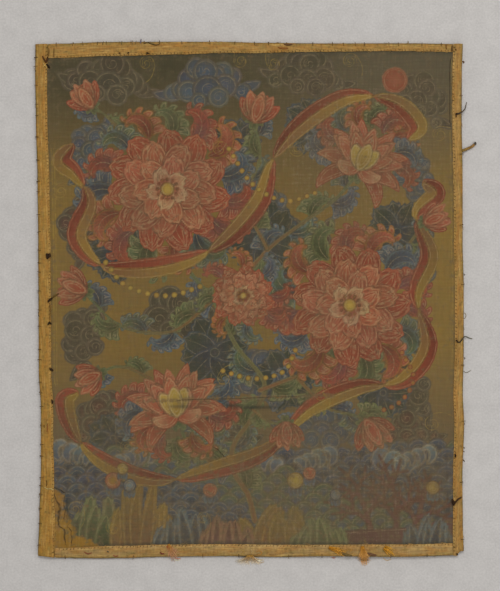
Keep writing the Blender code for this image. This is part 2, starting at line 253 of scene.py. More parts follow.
class Tubes:
    """Many thin tubes gathered into one mesh: a ring of points, square to the way, at each step of a path."""

    def __init__(self, sides):
        self.sides = sides
        self.points, self.faces, self.tints = [], [], []
        self.count = 0

    def add(self, path, radii, tint=(1, 1, 1)):
        """A closed tube along a path of (x, y, z) rows; tint is one colour, or one for each step."""
        path = np.asarray(path, float)
        steps = len(path)
        radii = np.broadcast_to(radii, steps)[:, None, None]
        way = np.gradient(path, axis=0)
        way /= np.linalg.norm(way, axis=1, keepdims=True)
        side = np.cross(way, [0.0, 0.0, 1.0])
        side[np.linalg.norm(side, axis=1) < 1e-6] = [1.0, 0.0, 0.0]
        side /= np.linalg.norm(side, axis=1, keepdims=True)
        above = np.cross(side, way)
        turn = (np.arange(self.sides) + 0.5) * 2 * np.pi / self.sides
        ring = np.cos(turn)[None, :, None] * side[:, None] + np.sin(turn)[None, :, None] * above[:, None]
        self.points.append((path[:, None] + radii * ring).reshape(-1, 3))
        self.tints.append(np.repeat(np.broadcast_to(tint, (steps, 3)), self.sides, axis=0))
        quads = grid_faces(steps, self.sides, self.count, closed=True)
        self.faces += [quad[::-1] for quad in quads]
        last = self.count + (steps - 1) * self.sides
        self.faces.append(list(range(self.count, self.count + self.sides)))
        self.faces.append(list(range(last + self.sides - 1, last - 1, -1)))
        self.count += steps * self.sides

    def piece(self, name, material):
        """The tubes as one object, each point with its tint."""
        return put_mesh(name, np.concatenate(self.points), self.faces, [material],
                        tint=np.concatenate(self.tints))


# ------------------------------------------------------------------ settings
def tint(name, description, code):
    """A colour setting whose default is given as sRGB hex."""
    return bpy.props.FloatVectorProperty(name=name, description=description, subtype="COLOR", size=3, min=0,
                                         max=1, default=linear(code))


def size(name, description, millimetres):
    """A length setting whose default is given in millimetres."""
    return bpy.props.FloatProperty(name=name, description=description, subtype="DISTANCE", unit="LENGTH",
                                   min=0.0, precision=5, default=millimetres * MM)


class ScrollSizes(bpy.types.PropertyGroup):
    """Lengths of the sewn pieces."""
    cloth_thickness: size("Cloth thickness", "Sized and painted cotton", 0.8)
    tape_thickness: size("Tape thickness", "Plain silk tape", 0.6)
    cell: size("Painted grid", "Spacing of the painted surface's points", 1.33)
    stitch_pitch: size("Stitch pitch", "Spacing of the hand stitches along the tape", 3.0)
    stitch_length: size("Stitch length", "Length of one hand stitch", 1.9)
    stitch_thickness: size("Stitch thickness", "Diameter of the sewing thread", 0.5)
    hair_thickness: size("Floss thickness", "Diameter of one strand of silk floss at its root", 0.36)
    weft_pitch: size("Weft streaks", "Spacing of the weft streaks that show through the paint", 1.7)


class ScrollColours(bpy.types.PropertyGroup):
    """Colours of the paints, the silk, the threads and the paper."""
    sky: tint("Sky", "Dark olive ground along the top", "#3b3826")
    earth: tint("Earth", "Ochre brown ground at the sides", "#795f2b")
    dusk: tint("Dusk", "Grey brown ground low down", "#54493a")
    coral_deep: tint("Deep coral", "Backs and folds of petals", "#5f2318")
    coral: tint("Coral", "Petals", "#843a26")
    coral_light: tint("Light coral", "Inner petals", "#935037")
    rose: tint("Rose", "Rims of petals", "#9e7351")
    cream: tint("Cream", "Fine light lines", "#b49d72")
    slate_deep: tint("Deep slate", "Hollows of blue leaves", "#272f38")
    slate: tint("Slate blue", "Blue leaves and water", "#3d4a55")
    slate_light: tint("Light slate", "Rims of blue leaves", "#66736f")
    pad_green: tint("Pad green", "Broad dark leaves", "#2d352c")
    green_deep: tint("Deep green", "Hollows of green leaves", "#303820")
    green: tint("Green", "Green leaves and rocks", "#4c5638")
    green_light: tint("Light green", "Rims of green leaves", "#7b7c4e")
    yellow: tint("Yellow", "Ribbons and jewels", "#876a28")
    yellow_light: tint("Light yellow", "Lit side of ribbons", "#a3863a")
    smoke: tint("Smoke", "Clouds", "#3f3a2d")
    smoke_blue: tint("Blue smoke", "Blue clouds and rocks", "#3d4344")
    smoke_red: tint("Red smoke", "Warm clouds and rocks", "#50352d")
    smoke_light: tint("Light smoke", "Rims of clouds", "#605745")
    maroon: tint("Maroon", "Ground of the lower right", "#5e3b38")
    brown: tint("Brown", "Rocks and stems", "#6b4a2c")
    ink: tint("Ink", "Outlines", "#2c2318")
    worn: tint("Worn ground", "Where the paint is rubbed thin", "#62533a")
    bare: tint("Bare ground", "The margin low at the left, where the paint is gone", "#8a6426")
    dust: tint("Dust", "What dulls the paint all over", "#62543d")
    # Besides stains, this colour paints the shade below the crease and beside the top and bottom tapes.
    soil: tint("Soil", "Dark stains beside the crease and the worn margin", "#35352a")
    bloom: tint("Bloom", "Pale, chalky flecks", "#8b7a63")
    silk_left: tint("Left tape", "Ochre silk of the left strip", "#916b28")
    silk_right: tint("Right tape", "Ochre silk of the right strip", "#957036")
    silk_top: tint("Top tape", "Ochre silk of the top strip", "#946f32")
    silk_bottom: tint("Bottom tape", "Ochre silk of the bottom strip", "#917444")
    silk_pale: tint("Faded silk", "The tape's sewn edge, rubbed and faded", "#a8864e")
    silk_olive: tint("Soiled silk", "The tape's outer edge, darkened by handling", "#7c6a28")
    stitch: tint("Stitch thread", "Dark sewing thread", "#33220f")
    stitch_faded: tint("Faded stitches", "Sewing thread where it is worn to the tape's colour", "#74561f")
    paper: tint("Paper", "The pale grey floor", "#bbb7b3")


def sizes():
    return bpy.context.scene.scroll_sizes


def colours():
    return bpy.context.scene.scroll_colours


def colour(name):
    """One of the settings' colours, as an array of linear red, green and blue."""
    return np.array(getattr(colours(), name))


# ------------------------------------------------------------------ the painted design
FAR = 6.0  # distances beyond this aren't kept, in mm
BLEED = 1.3  # width over which two paints of one coat meet, in mm
PARITIES = np.array([(1, 1), (-1, 1), (1, -1), (-1, -1)])

# Paints of a shape: at its base (a disc's middle), at its tip, and along its rim.
LOOKS = {
    "petal_back": ("coral_deep", "coral", "coral_light"),
    "petal": ("coral_deep", "coral_light", "rose"),
    "petal_front": ("coral", "coral_light", "rose"),
    "petal_heart": ("coral", "rose", "cream"),
    "lotus_back": ("coral_deep", "coral_light", "coral"),
    "lotus": ("yellow", "yellow_light", "cream"),
    "lotus_front": ("coral", "rose", "coral_light"),
    "leaf_red": ("maroon", "coral", "coral_light"),
    "leaf_orange": ("coral_deep", "coral_light", "yellow"),
    "leaf_blue": ("slate_deep", "slate", "slate_light"),
    "leaf_green": ("green_deep", "green", "green_light"),
    "leaf_dark": ("slate_deep", "green", "slate_light"),
    "stem": ("brown", "green", "green_light"),
    "ribbon": ("brown", "yellow", "yellow_light"),
    "ribbon_back": ("coral_deep", "coral", "coral_light"),
    "pad": ("slate_deep", "pad_green", "slate"),
    "cloud": ("smoke", "smoke", "smoke_light"),
    "cloud_blue": ("slate", "smoke_blue", "smoke_light"),
    "cloud_warm": ("smoke_red", "smoke", "smoke_light"),
    "water": ("slate_deep", "slate", "smoke_light"),
    "water_green": ("slate", "green", "smoke_light"),
    "foam": ("slate", "slate_light", "cream"),
    "rock_blue": ("slate_deep", "smoke_blue", "slate_light"),
    "rock_green": ("green_deep", "green", "green_light"),
    "rock_brown": ("brown", "earth", "yellow"),
    "rock_red": ("maroon", "smoke_red", "rose"),
    "red_ground": ("smoke_red", "maroon", "smoke_red"),
    "coral_branch": ("maroon", "smoke_red", "coral_deep"),
    "disc_red": ("coral_light", "coral", "rose"),
    "bead_yellow": ("yellow_light", "yellow", "brown"),
    "bead_orange": ("yellow", "coral_light", "coral_deep"),
    "bead_blue": ("slate_light", "slate", "slate_deep"),
}


def crossing(fields):
    """Distance to the nearest of several families of lines, with a sign that changes across every one."""
    fields = np.array(fields)
    return np.prod(np.sign(fields), axis=0) * np.abs(fields).min(axis=0)


def sweep(x, y, spine, radii):
    """Where points lie in a tapering stroke: depth inside it, share along it, distance across, its radius.

    Each stretch of the spine is a cone of circles, and a point belongs to the one in which it lies deepest.
    """
    start, step = spine[:-1], np.diff(spine, axis=0)
    long = np.hypot(step[:, 0], step[:, 1])
    dx, dy = x[..., None] - start[:, 0], y[..., None] - start[:, 1]
    t = np.clip((dx * step[:, 0] + dy * step[:, 1]) / long ** 2, 0, 1)
    side = (step[:, 0] * dy - step[:, 1] * dx) / long
    radius = radii[:-1] + t * np.diff(radii)
    depth = radius - np.hypot(dx - t * step[:, 0], dy - t * step[:, 1])
    best = depth.argmax(-1)[..., None]
    depth, t, side, radius = (np.take_along_axis(f, best, -1)[..., 0] for f in (depth, t, side, radius))
    return depth, (best[..., 0] + t) / len(step), side, radius


class Coat:
    """One coat of paint over the cloth's grid of points, kept as distances in mm so that its edges stay fine.

    cover is how far a point lies inside what is painted. edge is the distance to the nearest outline between
    two shapes, and kind gives each shape one of four parities, so that a signed edge changes sign at nearly
    every outline. light and dark are signed distances to the nearest fine line.
    """

    def __init__(self, x, y, seed):
        self.x, self.y = x, y
        self.column_x, self.row_y = x.mean(axis=0), y.mean(axis=1)
        self.cover = np.full(x.shape, -3 * FAR)
        self.edge = np.full(x.shape, FAR)
        self.kind = np.zeros(x.shape, int)
        self.light = np.full(x.shape, FAR)
        self.dark = np.full(x.shape, FAR)
        self.colour = np.zeros(x.shape + (3,))
        self.chance = np.random.default_rng(seed)

    def window(self, spine, pad):
        """The grid's rows and columns that a stroke and a border of pad mm round it can reach."""
        low, high = spine.min(axis=0) - pad, spine.max(axis=0) + pad
        columns = slice(*np.searchsorted(self.column_x, (low[0], high[0])))
        rows = slice(*np.searchsorted(self.row_y, (low[1], high[1])))
        return rows, columns

    def paint(self, spine, radii, look, echo=(), ribs=0, barbs=0.0, shade=(), ruffle=0.0, rim=2.2):
        """Paints a stroke over what is there.

        echo gives light lines at these depths inside the outline, ribs a count of light lines along it and
        shade dark lines at these depths. barbs is the spacing of dark lines that slant back from its middle,
        ruffle the height of the waves in its outline, and rim how far in the rim's colour reaches. A stroke
        with no length is a disc, shaded from its middle out.
        """
        spine = np.asarray(spine, float)
        radii = np.broadcast_to(np.asarray(radii, float), len(spine))
        at = self.window(spine, radii.max() + FAR)
        x, y = self.x[at], self.y[at]
        if x.size == 0:
            return
        depth, share, side, radius = sweep(x, y, spine, radii)
        if ruffle:
            depth = depth + ruffle * np.cos(9 * side / (radius + 2)) * smooth(share * 1.6 - 0.3)
        if np.ptp(spine, axis=0).max() < 0.1:
            share = 1 - depth / radius

        base, tip, rim_colour = (colour(name) for name in LOOKS[look])
        along_it, near = smooth(share)[..., None], smooth(1 - depth / rim)[..., None]
        hues = (base * (1 - along_it) + tip * along_it) * (1 - 0.6 * near) + rim_colour * 0.6 * near
        hues = hues * (1 + self.chance.uniform(-0.12, 0.12) + self.chance.uniform(-0.05, 0.05, 3))

        cover, edge, kind = self.cover[at], self.edge[at], self.kind[at]
        beside = (depth < 0) & (depth > -2) & (cover > 0)
        parity = np.bincount(kind[beside], minlength=4).argmin()
        inside = depth > 0
        amount = np.where(cover > 0, np.clip(depth / BLEED + 0.5, 0, 1), depth > cover)[..., None]
        self.colour[at] = self.colour[at] * (1 - amount) + hues * amount
        over_paint = np.where(cover > 0, np.minimum(edge, -depth), edge)
        self.edge[at] = np.where(inside, np.maximum(depth, -cover), over_paint)
        self.kind[at] = np.where(inside, parity, kind)
        self.cover[at] = np.maximum(cover, depth)

        light = [inset - depth for inset in echo]
        light += [side - place * radius for place in np.linspace(-1, 1, ribs + 2)[1:-1]]
        dark = [inset - depth for inset in shade]
        if barbs:
            length = np.hypot(*np.diff(spine, axis=0).T).sum()
            slant = share * length - 0.9 * np.abs(side)
            dark.append(barbs / np.pi * np.sin(np.pi * slant / barbs) / 1.35)
        for field, lines in ((self.light, light), (self.dark, dark)):
            fresh = crossing(lines) if lines else FAR
            field[at] = np.where(inside, fresh, field[at])

    def disc(self, x, y, radius, look, **lines):
        """A round dab: a stroke too short to have a direction."""
        self.paint([(x - 0.01, y), (x + 0.01, y)], radius, look, **lines)

    def petal(self, x, y, heading, length, width, curl, look, tip=0.8, base=0.1, **lines):
        """A bulging stroke. Its half widths follow a sine arch from base to tip, as shares of the arch."""
        steps = 9 + int(abs(curl) // 30)
        radii = width / 2 * swell(steps, base, tip)
        self.paint(bend(x, y, heading, length - radii[-1], curl, steps), radii, look, **lines)

    def line(self, spine, field="light", width=1.0):
        """A fine line over what is there, its sign turned so that it agrees with the lines beside it.

        Its distance is divided by its width, a share of the usual one, so that a wider line is drawn wider.
        """
        spine = np.asarray(spine, float)
        at = self.window(spine, FAR)
        x, y = self.x[at], self.y[at]
        if x.size == 0:
            return
        depth, _, side, _ = sweep(x, y, spine, np.zeros(len(spine)))
        kept = getattr(self, field)
        signed = np.where(side < 0, depth, -depth) / width
        near = (np.abs(kept[at]) < 3) & (-depth < 3)
        if (np.sign(signed) * np.sign(kept[at]))[near].sum() < 0:
            signed = -signed
        kept[at] = np.where(np.abs(signed) < np.abs(kept[at]), signed, kept[at])

    def attributes(self, name):
        """The coat's arrays as mesh attributes: shape (cover and two signed edges), lines, and colour."""
        edges = np.clip(self.edge, 0, FAR)[..., None] * PARITIES[self.kind]
        cover = np.clip(self.cover, -FAR, FAR)[..., None]
        lines = np.stack([np.clip(self.light, -FAR, FAR), np.clip(self.dark, -FAR, FAR),
                          np.zeros_like(self.light)], -1)
        return {name + "_shape": np.concatenate([cover, edges], -1).reshape(-1, 3),
                name + "_lines": lines.reshape(-1, 3),
                name + "_colour": self.colour.reshape(-1, 3)}


def headings_along(points):
    """Headings, in degrees, of a smooth line at each of its points."""
    way = np.gradient(points, axis=0)
    return np.degrees(np.arctan2(way[:, 1], way[:, 0]))


# Rings of petals: count, first and last heading from the flower's facing, where a petal starts and ends as
# shares of the size, its width as another, its curl, its look, and where its arch of widths ends.
PEONY = [
    (11, 0, 327, 0.40, 1.00, 0.44, 26, "petal_back", 0.76),
    (9, 14, 334, 0.26, 0.80, 0.40, -24, "petal", 0.78),
    (7, 0, 309, 0.12, 0.58, 0.34, 28, "petal_front", 0.80),
    (5, 30, 318, 0.04, 0.36, 0.25, -34, "petal_heart", 0.84),
]
LOTUS = [
    (8, -112, 112, 0.06, 0.98, 0.30, 60, "lotus_back", 1.0),
    (7, -84, 84, 0.04, 0.90, 0.30, 34, "petal", 1.0),
    (5, -52, 52, 0.02, 0.74, 0.30, 16, "petal_front", 1.0),
    (4, -125, 125, 0.02, 0.52, 0.28, -70, "lotus_front", 1.0),
    (3, -30, 30, 0.00, 0.50, 0.28, 10, "lotus", 1.0),
]
BUD = [
    (4, -50, 50, 0.0, 0.9, 0.40, -30, "petal_back", 1.0),
    (3, -26, 26, 0.0, 0.98, 0.40, -34, "petal", 1.0),
    (1, 0, 0, 0.0, 0.80, 0.42, 0, "petal_front", 1.0),
]

# Flowers: rings, x, y, size, facing in degrees.
FLOWERS = [
    (PEONY, -70, 94, 53, 20),
    (PEONY, 84, -4, 51, -35),
    (LOTUS, -62, -96, 46, 100),
    (LOTUS, 92, 112, 43, 66),
    (PEONY, -6, 4, 27, 50),
    (BUD, 4, 152, 27, 76),
    (BUD, -140, 8, 27, 160),
    (BUD, 98, -102, 29, -60),
    (BUD, 148, 66, 23, 24),
    (BUD, -134, 164, 24, 128),
    (BUD, -128, -62, 24, 205),
    (BUD, 30, -104, 24, -84),
]

# Stems: route, half width at the start and at the end, leaf length, leaf count.
STEMS = [
    ([(4, -186), (-2, -164), (-14, -144), (-14, -122), (2, -98), (12, -70), (-12, -38), (-30, -2), (-54, 28),
      (-66, 52)], 2.6, 1.6, 30, 9),
    ([(8, -76), (34, -66), (58, -58), (78, -44)], 2.0, 1.4, 26, 4),
    ([(-16, -136), (-36, -134), (-52, -122), (-60, -104)], 2.0, 1.4, 22, 3),
    ([(-24, -8), (10, 38), (42, 64), (70, 84), (90, 106)], 1.9, 1.3, 27, 6),
    ([(14, 44), (-4, 84), (8, 120), (4, 150)], 1.7, 1.0, 24, 5),
    ([(-32, 0), (-66, -26), (-108, -22), (-138, 4)], 1.7, 1.0, 26, 5),
    ([(40, -66), (64, -90), (84, -96), (98, -100)], 1.7, 1.0, 24, 4),
    ([(116, 36), (132, 46), (140, 56), (148, 64)], 1.5, 1.0, 20, 2),
    ([(-102, 136), (-114, 148), (-124, 158), (-134, 162)], 1.5, 1.0, 20, 2),
    ([(-84, -66), (-100, -58), (-114, -56), (-128, -62)], 1.5, 1.0, 20, 2),
    ([(2, -92), (12, -100), (22, -104), (30, -104)], 1.4, 1.0, 16, 2),
]
# Whirls of leaves round a flower: x, y, radius where they start, first and last angle, count, length, and the
# way round that they curl.
WHIRLS = [
    (-70, 94, 46, -10, 326, 15, 36, 1),
    (84, -4, 44, 20, 356, 15, 35, -1),
    (-62, -88, 28, 172, 372, 9, 30, 1),
    (96, 122, 26, -20, 170, 9, 29, -1),
    (-6, 4, 24, 0, 324, 8, 22, 1),
]
LEAF_LOOKS = ["leaf_red", "leaf_blue", "leaf_orange", "leaf_red", "leaf_green", "leaf_orange", "leaf_dark"]

# Ribbons: route, half width, folds.
RIBBONS = [
    ([(-150, 132), (-160, 118), (-148, 106), (-136, 84), (-146, 54), (-126, 30), (-92, 26), (-52, 34),
      (-20, 52), (8, 84), (20, 120), (46, 150), (84, 172), (122, 168), (142, 148), (134, 136)], 8.0, 6),
    ([(146, 100), (156, 90), (140, 72), (152, 38), (140, 4), (150, -38), (128, -68), (90, -74), (50, -92),
      (14, -126), (-30, -142), (-76, -152), (-118, -140), (-146, -116), (-156, -86), (-146, -78)], 7.6, 7),
]
# Clouds: x, y, length, heading, look.
CLOUDS = [
    (-120, 180, 64, -10, "cloud"), (-36, 176, 66, 6, "cloud_blue"), (48, 186, 60, -8, "cloud"),
    (140, 168, 56, -40, "cloud"), (-134, 126, 50, 60, "cloud_blue"), (144, 108, 50, 100, "cloud_blue"),
    (-138, 62, 56, 80, "cloud_warm"), (146, 30, 58, 86, "cloud_blue"), (-134, -30, 60, 70, "cloud"),
    (34, 34, 74, 40, "cloud_warm"), (4, 80, 60, -60, "cloud_blue"), (138, -66, 60, 112, "cloud"),
    (14, -70, 66, 10, "cloud_blue"), (-122, -100, 54, 30, "cloud_warm"), (60, -112, 64, -8, "cloud_blue"),
    (-60, -18, 70, 0, "cloud"), (132, -116, 50, 0, "cloud_warm"), (-30, -122, 60, 6, "cloud"),
]
# Broad leaves behind the flowers: x, y, radius, facing in degrees.
PADS = [(14, 52, 33, 10), (-30, -44, 31, 40), (28, -66, 27, 0), (52, 148, 25, 30), (-112, 40, 26, 15),
        (-12, 132, 24, 0), (124, 58, 26, 20), (-116, -116, 22, 0), (112, -78, 24, 30)]
# Rocks: x, foot, width, height, look.
ROCKS = [
    (-128, -205, 56, 44, "rock_green"), (-92, -207, 44, 58, "rock_brown"), (-56, -207, 46, 36, "rock_blue"),
    (20, -207, 60, 46, "rock_brown"), (-20, -208, 40, 32, "rock_red"), (58, -207, 42, 32, "rock_green"),
    (152, -206, 40, 30, "rock_blue"),
]
# Jewels: x, y, radius, look.
JEWELS = [
    (-116, -152, 7.0, "bead_orange"), (-102, -156, 5.6, "bead_blue"), (-108, -142, 5.0, "bead_yellow"),
    (38, -152, 7.0, "bead_yellow"), (50, -146, 5.4, "disc_red"), (-34, -160, 6.0, "disc_red"),
    (72, -164, 5.0, "bead_blue"), (154, -158, 6.0, "bead_yellow"),
]
# Twigs of the branching plant: x, y, heading, length.
TWIGS = [(104, -204, 104, 30), (122, -204, 84, 32), (134, -202, 66, 26)]
TWIG_RADIUS = 2.9
# Curling crests of the waves: x, y, height, and which way they curl.
CRESTS = [(-160, -132, 28, 1), (-86, -134, 26, -1), (-2, -138, 28, 1), (66, -136, 26, -1), (112, -140, 30, 1),
          (150, -134, 24, -1)]
# Spiral tendrils in a fine line: x, y, radius, heading.
TENDRILS = [
    (-88, 200, 7, 0), (-8, 202, 6, 180), (84, 202, 7, 40), (20, 200, 6, 200), (160, 140, 7, 90),
    (-160, 92, 7, 90), (-26, 128, 7, 30), (40, 128, 7, 200), (-104, -124, 7, 60), (-22, -66, 6, 150),
    (60, -80, 7, 10), (154, -104, 7, 120), (-148, -176, 7, 20), (-116, -192, 6, 160), (-76, -180, 7, 80),
    (-40, -184, 6, 10),
]
# Strings of beads, hung between these points: route, bead radius, spacing, look.
GARLANDS = [
    ([(-18, 128), (2, 98), (30, 84), (58, 92)], 2.3, 7.2, "bead_yellow"),
    ([(-122, 32), (-104, 12), (-70, 4), (-36, 14)], 2.5, 7.6, "bead_yellow"),
    ([(38, -42), (28, -60), (2, -66), (-28, -58)], 2.3, 7.4, "bead_yellow"),
    ([(128, -44), (138, -66), (126, -86), (108, -94)], 2.2, 7.0, "bead_orange"),
]
STEM_POINTS = 60
RIBBON_POINTS = 16  # for each fold of a ribbon


def paint_leaf(coat, x, y, heading, length, curl, look):
    """A curling leaf: hooked lobes along both sides, shorter towards its tip, and its blade over them."""
    spine = bend(x, y, heading, length, curl, 13)
    headings = headings_along(spine)
    for step in range(1, len(spine) - 1, 2):
        reach = length * (0.54 - 0.028 * step)
        for side in (1, -1):
            lean, long, hook = (40, 1.1, 110) if side * curl < 0 else (28, 0.75, 50)
            coat.petal(*spine[step], headings[step] + lean * side, reach * long, reach * 0.56, hook * side,
                       look, tip=0.94, echo=(1.2, 3.0), rim=1.8)
    coat.petal(x, y, heading, length, length * 0.34, curl, look, tip=0.97, ribs=1, barbs=3.2, rim=1.8)


def paint_flower(coat, rings, x, y, scale, facing):
    """Rings of petals, the back ring first. A fan's outer petals come first, and a rose's every other one."""
    fan = rings is not PEONY
    lines = {"echo": (1.3, 3.4)}
    if fan:
        for turn in (150, -150, 100, -100, 180):
            coat.petal(x, y, facing + turn, scale * 0.34, scale * 0.17, turn / 3, "leaf_green", tip=1.0,
                       rim=1.2)
    else:
        lines = {"echo": (1.4, 3.8, 6.6), "ribs": 3, "shade": (2.6, 5.2), "ruffle": 0.9}
    for count, first, last, start, end, width, curl, look, tip in rings:
        offsets = np.linspace(first, last, count)
        order = np.argsort(-np.abs(offsets)) if fan else np.r_[0:count:2, 1:count:2]
        for k in order:
            heading = facing + offsets[k] + coat.chance.uniform(-4, 4)
            lean = curl * offsets[k] / 90 if fan else curl
            long = scale * (end - start) * coat.chance.uniform(0.93, 1.05)
            base = np.radians(heading)
            coat.petal(x + scale * start * np.cos(base), y + scale * start * np.sin(base), heading, long,
                       scale * width, lean, look, tip=tip, **lines)
    if not fan:
        coat.disc(x, y, scale * 0.11, "bead_yellow", echo=(1.6,))
        for angle in np.radians(np.arange(0, 360, 30)):
            coat.disc(x + scale * 0.16 * np.cos(angle), y + scale * 0.16 * np.sin(angle), 1.2, "bead_orange")


# The puffs under a cloud's arch: place along it, height and radius, as shares of its length.
INNER_PUFFS = [(-0.56, 0.03, 0.15), (0.52, 0.05, 0.155), (0.0, 0.02, 0.17), (-0.28, -0.1, 0.12),
               (0.3, -0.08, 0.13)]


def paint_cloud(coat, x, y, length, heading, look):
    """Scalloped puffs along an arch, the outer ones first, each with a curl in it, and a tail at each end."""
    way = np.array([np.cos(np.radians(heading)), np.sin(np.radians(heading))])
    up = np.array([-way[1], way[0]])
    middle = np.array([x, y])
    for end in (1, -1):
        tail = middle + way * end * length * 0.36
        coat.petal(*tail, heading + (0 if end > 0 else 180), length * 0.36, length * 0.15, 30 * end, look,
                   tip=1.0, echo=(1.4,))
    puffs = [(share, (1 - share ** 2) * 0.27 + 0.06 * np.cos(7 * share + x), 0.155 - 0.05 * share ** 2)
             for share in sorted(np.linspace(-1, 1, 9), key=lambda s: -abs(s))]
    for share, high, wide in (*puffs, *INNER_PUFFS):
        centre = middle + (way * share * 0.44 + up * high) * length
        radius = length * wide * coat.chance.uniform(0.85, 1.15)
        coat.disc(*centre, radius, look, echo=(1.8,), rim=3.0)
        start = np.degrees(np.arctan2(high - 0.05, share + 0.01)) + heading + 60
        coat.line(spiral(*centre, (radius * 0.55, radius * 0.12), (start, start + 400), 24))


def paint_ribbon(coat, points, half_width, folds):
    """A two-sided ribbon, one stroke a side for each fold, widest in mid fold and narrow at the turns."""
    way = np.radians(headings_along(points))
    normal = np.stack([-np.sin(way), np.cos(way)], 1)
    phase = np.sin(np.pi * np.linspace(0, folds, len(points)))
    waist = np.abs(phase[:, None]) ** 0.55 * half_width
    side = np.sign(phase[len(points) // folds // 2])
    for fold in range(folds):
        part = slice(fold * RIBBON_POINTS, (fold + 1) * RIBBON_POINTS + 1)
        under = points[part] + 0.3 * side * normal[part] * waist[part]
        over = points[part] - 0.42 * side * normal[part] * waist[part]
        coat.paint(under, 1.0 + 0.72 * waist[part, 0], "ribbon_back", echo=(1.3,), shade=(2.8,), rim=1.4)
        coat.paint(over, 0.8 + 0.46 * waist[part, 0], "ribbon", echo=(1.1,), rim=1.2)
        side = -side


def paint_pad(coat, x, y, radius, facing):
    """A broad dark leaf like a dish: wide lobes all round, then their ribs as light lines from its middle."""
    angles = facing + np.arange(0, 360, 36)
    for angle in (*angles[::2], *angles[1::2]):
        coat.petal(x, y, angle, radius * coat.chance.uniform(0.9, 1.08), radius * 0.62, 14, "pad", tip=0.72,
                   ribs=1, echo=(1.6,), barbs=4.2, ruffle=1.0, rim=3.0)
    coat.disc(x, y, radius * 0.16, "pad", echo=(1.3,))


def paint_rock(coat, x, foot, width, height, look):
    """Upright columns of uneven heights, the middle ones painted last, each with dark cracks down it."""
    for share in sorted(np.linspace(-1, 1, 8), key=lambda s: -abs(s)):
        tall = height * (1 - 0.4 * share ** 2) * coat.chance.uniform(0.62, 1.1)
        coat.petal(x + share * width * 0.46, foot - 4, 90 + coat.chance.uniform(-9, 9), tall, width * 0.27,
                   coat.chance.uniform(-24, 24), look, tip=0.86, base=0.4, echo=(1.5,), shade=(3.3,),
                   barbs=6.5, ruffle=0.8, rim=3.6)


def paint_branch(coat, x, y, heading, length, radius, look):
    """A branching twig: each branch carries shorter ones, down to the thinnest."""
    spine = bend(x, y, heading, length, coat.chance.uniform(-24, 24), steps=6)
    coat.paint(spine, np.linspace(radius, radius * 0.7, 6), look, rim=1.2)
    if radius > 1.2:
        for step, side in ((3, 1), (4, -1), (5, 0.3)):
            paint_branch(coat, *spine[step], heading + side * coat.chance.uniform(34, 56), length * 0.66,
                         radius * 0.72, look)


def paint_water(coat):
    """Rows of overlapping scales, each row over the one behind it, with curling crests along the top."""
    for row, y in enumerate(np.arange(-130, -216, -7.4)):
        for x in np.arange(-178 + 8 * (row % 2), 182, 16):
            look = "water" if np.sin(0.021 * x + 0.05 * y) > -0.2 else "water_green"
            coat.disc(x, y - 4 * np.sin(0.03 * x), 9.6, look, echo=(1.5, 4.6), rim=2.0)
    for x, y, high, way in CRESTS:
        for k in range(4):
            coat.petal(x + 7 * k * way, y - 3 - k, 90 + (52 - 16 * k) * way, high * (1 - 0.15 * k),
                       high * 0.3, -(230 - 20 * k) * way, "foam", tip=1.0, echo=(1.4,), rim=1.6)


def ground_colour(x, y):
    """Dark olive at the top, ochre at the sides and grey brown below, each fading softly into the next."""
    high = smooth((y - 60) / 140)[..., None]
    low = smooth((-y - 20) / 120)[..., None]
    side = smooth((np.abs(x) - 60) / 90)[..., None]
    warm = colour("earth") * (0.9 + 0.1 * side + 0.1 * smooth((x - 60) / 90)[..., None])
    pale = 0.5 * smooth((x + 40) / 160)[..., None]
    sky = colour("sky") * (1 - pale) + colour("smoke_light") * pale
    mixed = warm * (1 - high) + sky * high
    return mixed * (1 - 0.8 * low) + colour("dusk") * 0.8 * low


def crease(x):
    """Height up the picture of the crease that crosses below its middle."""
    return -82.5 + 0.032 * (x + 8) + 0.2 * np.sin(0.11 * x)


# Right edge of the bare margin low at the left: (height up the picture, x).
MARGIN = [(-207, -127.0), (-202.4, -131.6), (-200.4, -138.3), (-197.6, -144.6), (-192, -146.4),
          (-186.6, -150.5), (-178.5, -153.6), (-165, -155.6), (-160, -158.7)]
# Cracks in that margin: width as a share of a fine line's, and route.
CRACKS = [
    (1.1, [(-166.6, -157.4), (-164.1, -158.2), (-160.0, -159.9), (-157.3, -161.9)]),
    (1.0, [(-165.6, -163.0), (-163.4, -169.0), (-161.8, -171.2)]),
    (1.9, [(-162.2, -170.6), (-161.2, -172.4), (-161.0, -174.2), (-160.0, -176.0), (-161.7, -178.5),
           (-160.9, -180.4), (-161.8, -184.0)]),
    (1.3, [(-161.7, -183.4), (-162.2, -185.3), (-161.4, -187.4), (-161.8, -189.2), (-160.2, -191.0)]),
    (0.9, [(-160.2, -191.0), (-158.7, -191.8), (-157.0, -193.0)]),
    (1.3, [(-157.0, -193.0), (-156.3, -196.0), (-156.9, -198.9), (-156.1, -202.9)]),
    (0.9, [(-152.6, -192.6), (-151.2, -194.4), (-151.3, -197.5), (-150.4, -200.6), (-150.9, -204.3)]),
    (0.6, [(-156.6, -165.0), (-157.4, -171.6), (-156.2, -177.0), (-157.2, -184.0)]),
]
# Soft dark patches below the crease, painted shade of the crease with some stain, and stains beside the
# margin:
# x, y, half length, half height, strength.
DARK_PATCHES = [
    (-59, -89.6, 10, 1.6, 0.5), (-16, -88.4, 9, 1.8, 0.6), (8, -90.2, 20, 1.7, 0.75),
    (34, -87.6, 13, 1.6, 0.6), (-154.4, -175, 2.2, 12, 0.5), (-147.6, -190, 3.0, 6, 0.35),
]
# A short scratch below the middle: (x, y).
SCRATCH = [(-29.7, -124.5), (-27.0, -126.0), (-25.2, -128.6), (-22.9, -130.7)]
# Lines beside the side tapes: side, distance in from the tape, lowest and highest y, points, kind of line.
TAPE_SIDE_LINES = [
    ("right", 2.0, 150, 203, 24, "dark"),
    ("right", 0.9, 150, 203, 24, "light"),
    ("right", 2.0, -62, 142, 60, "light"),
    ("left", 2.4, -70, 128, 60, "light"),
    ("left", 4.6, -70, 128, 60, "light"),
]


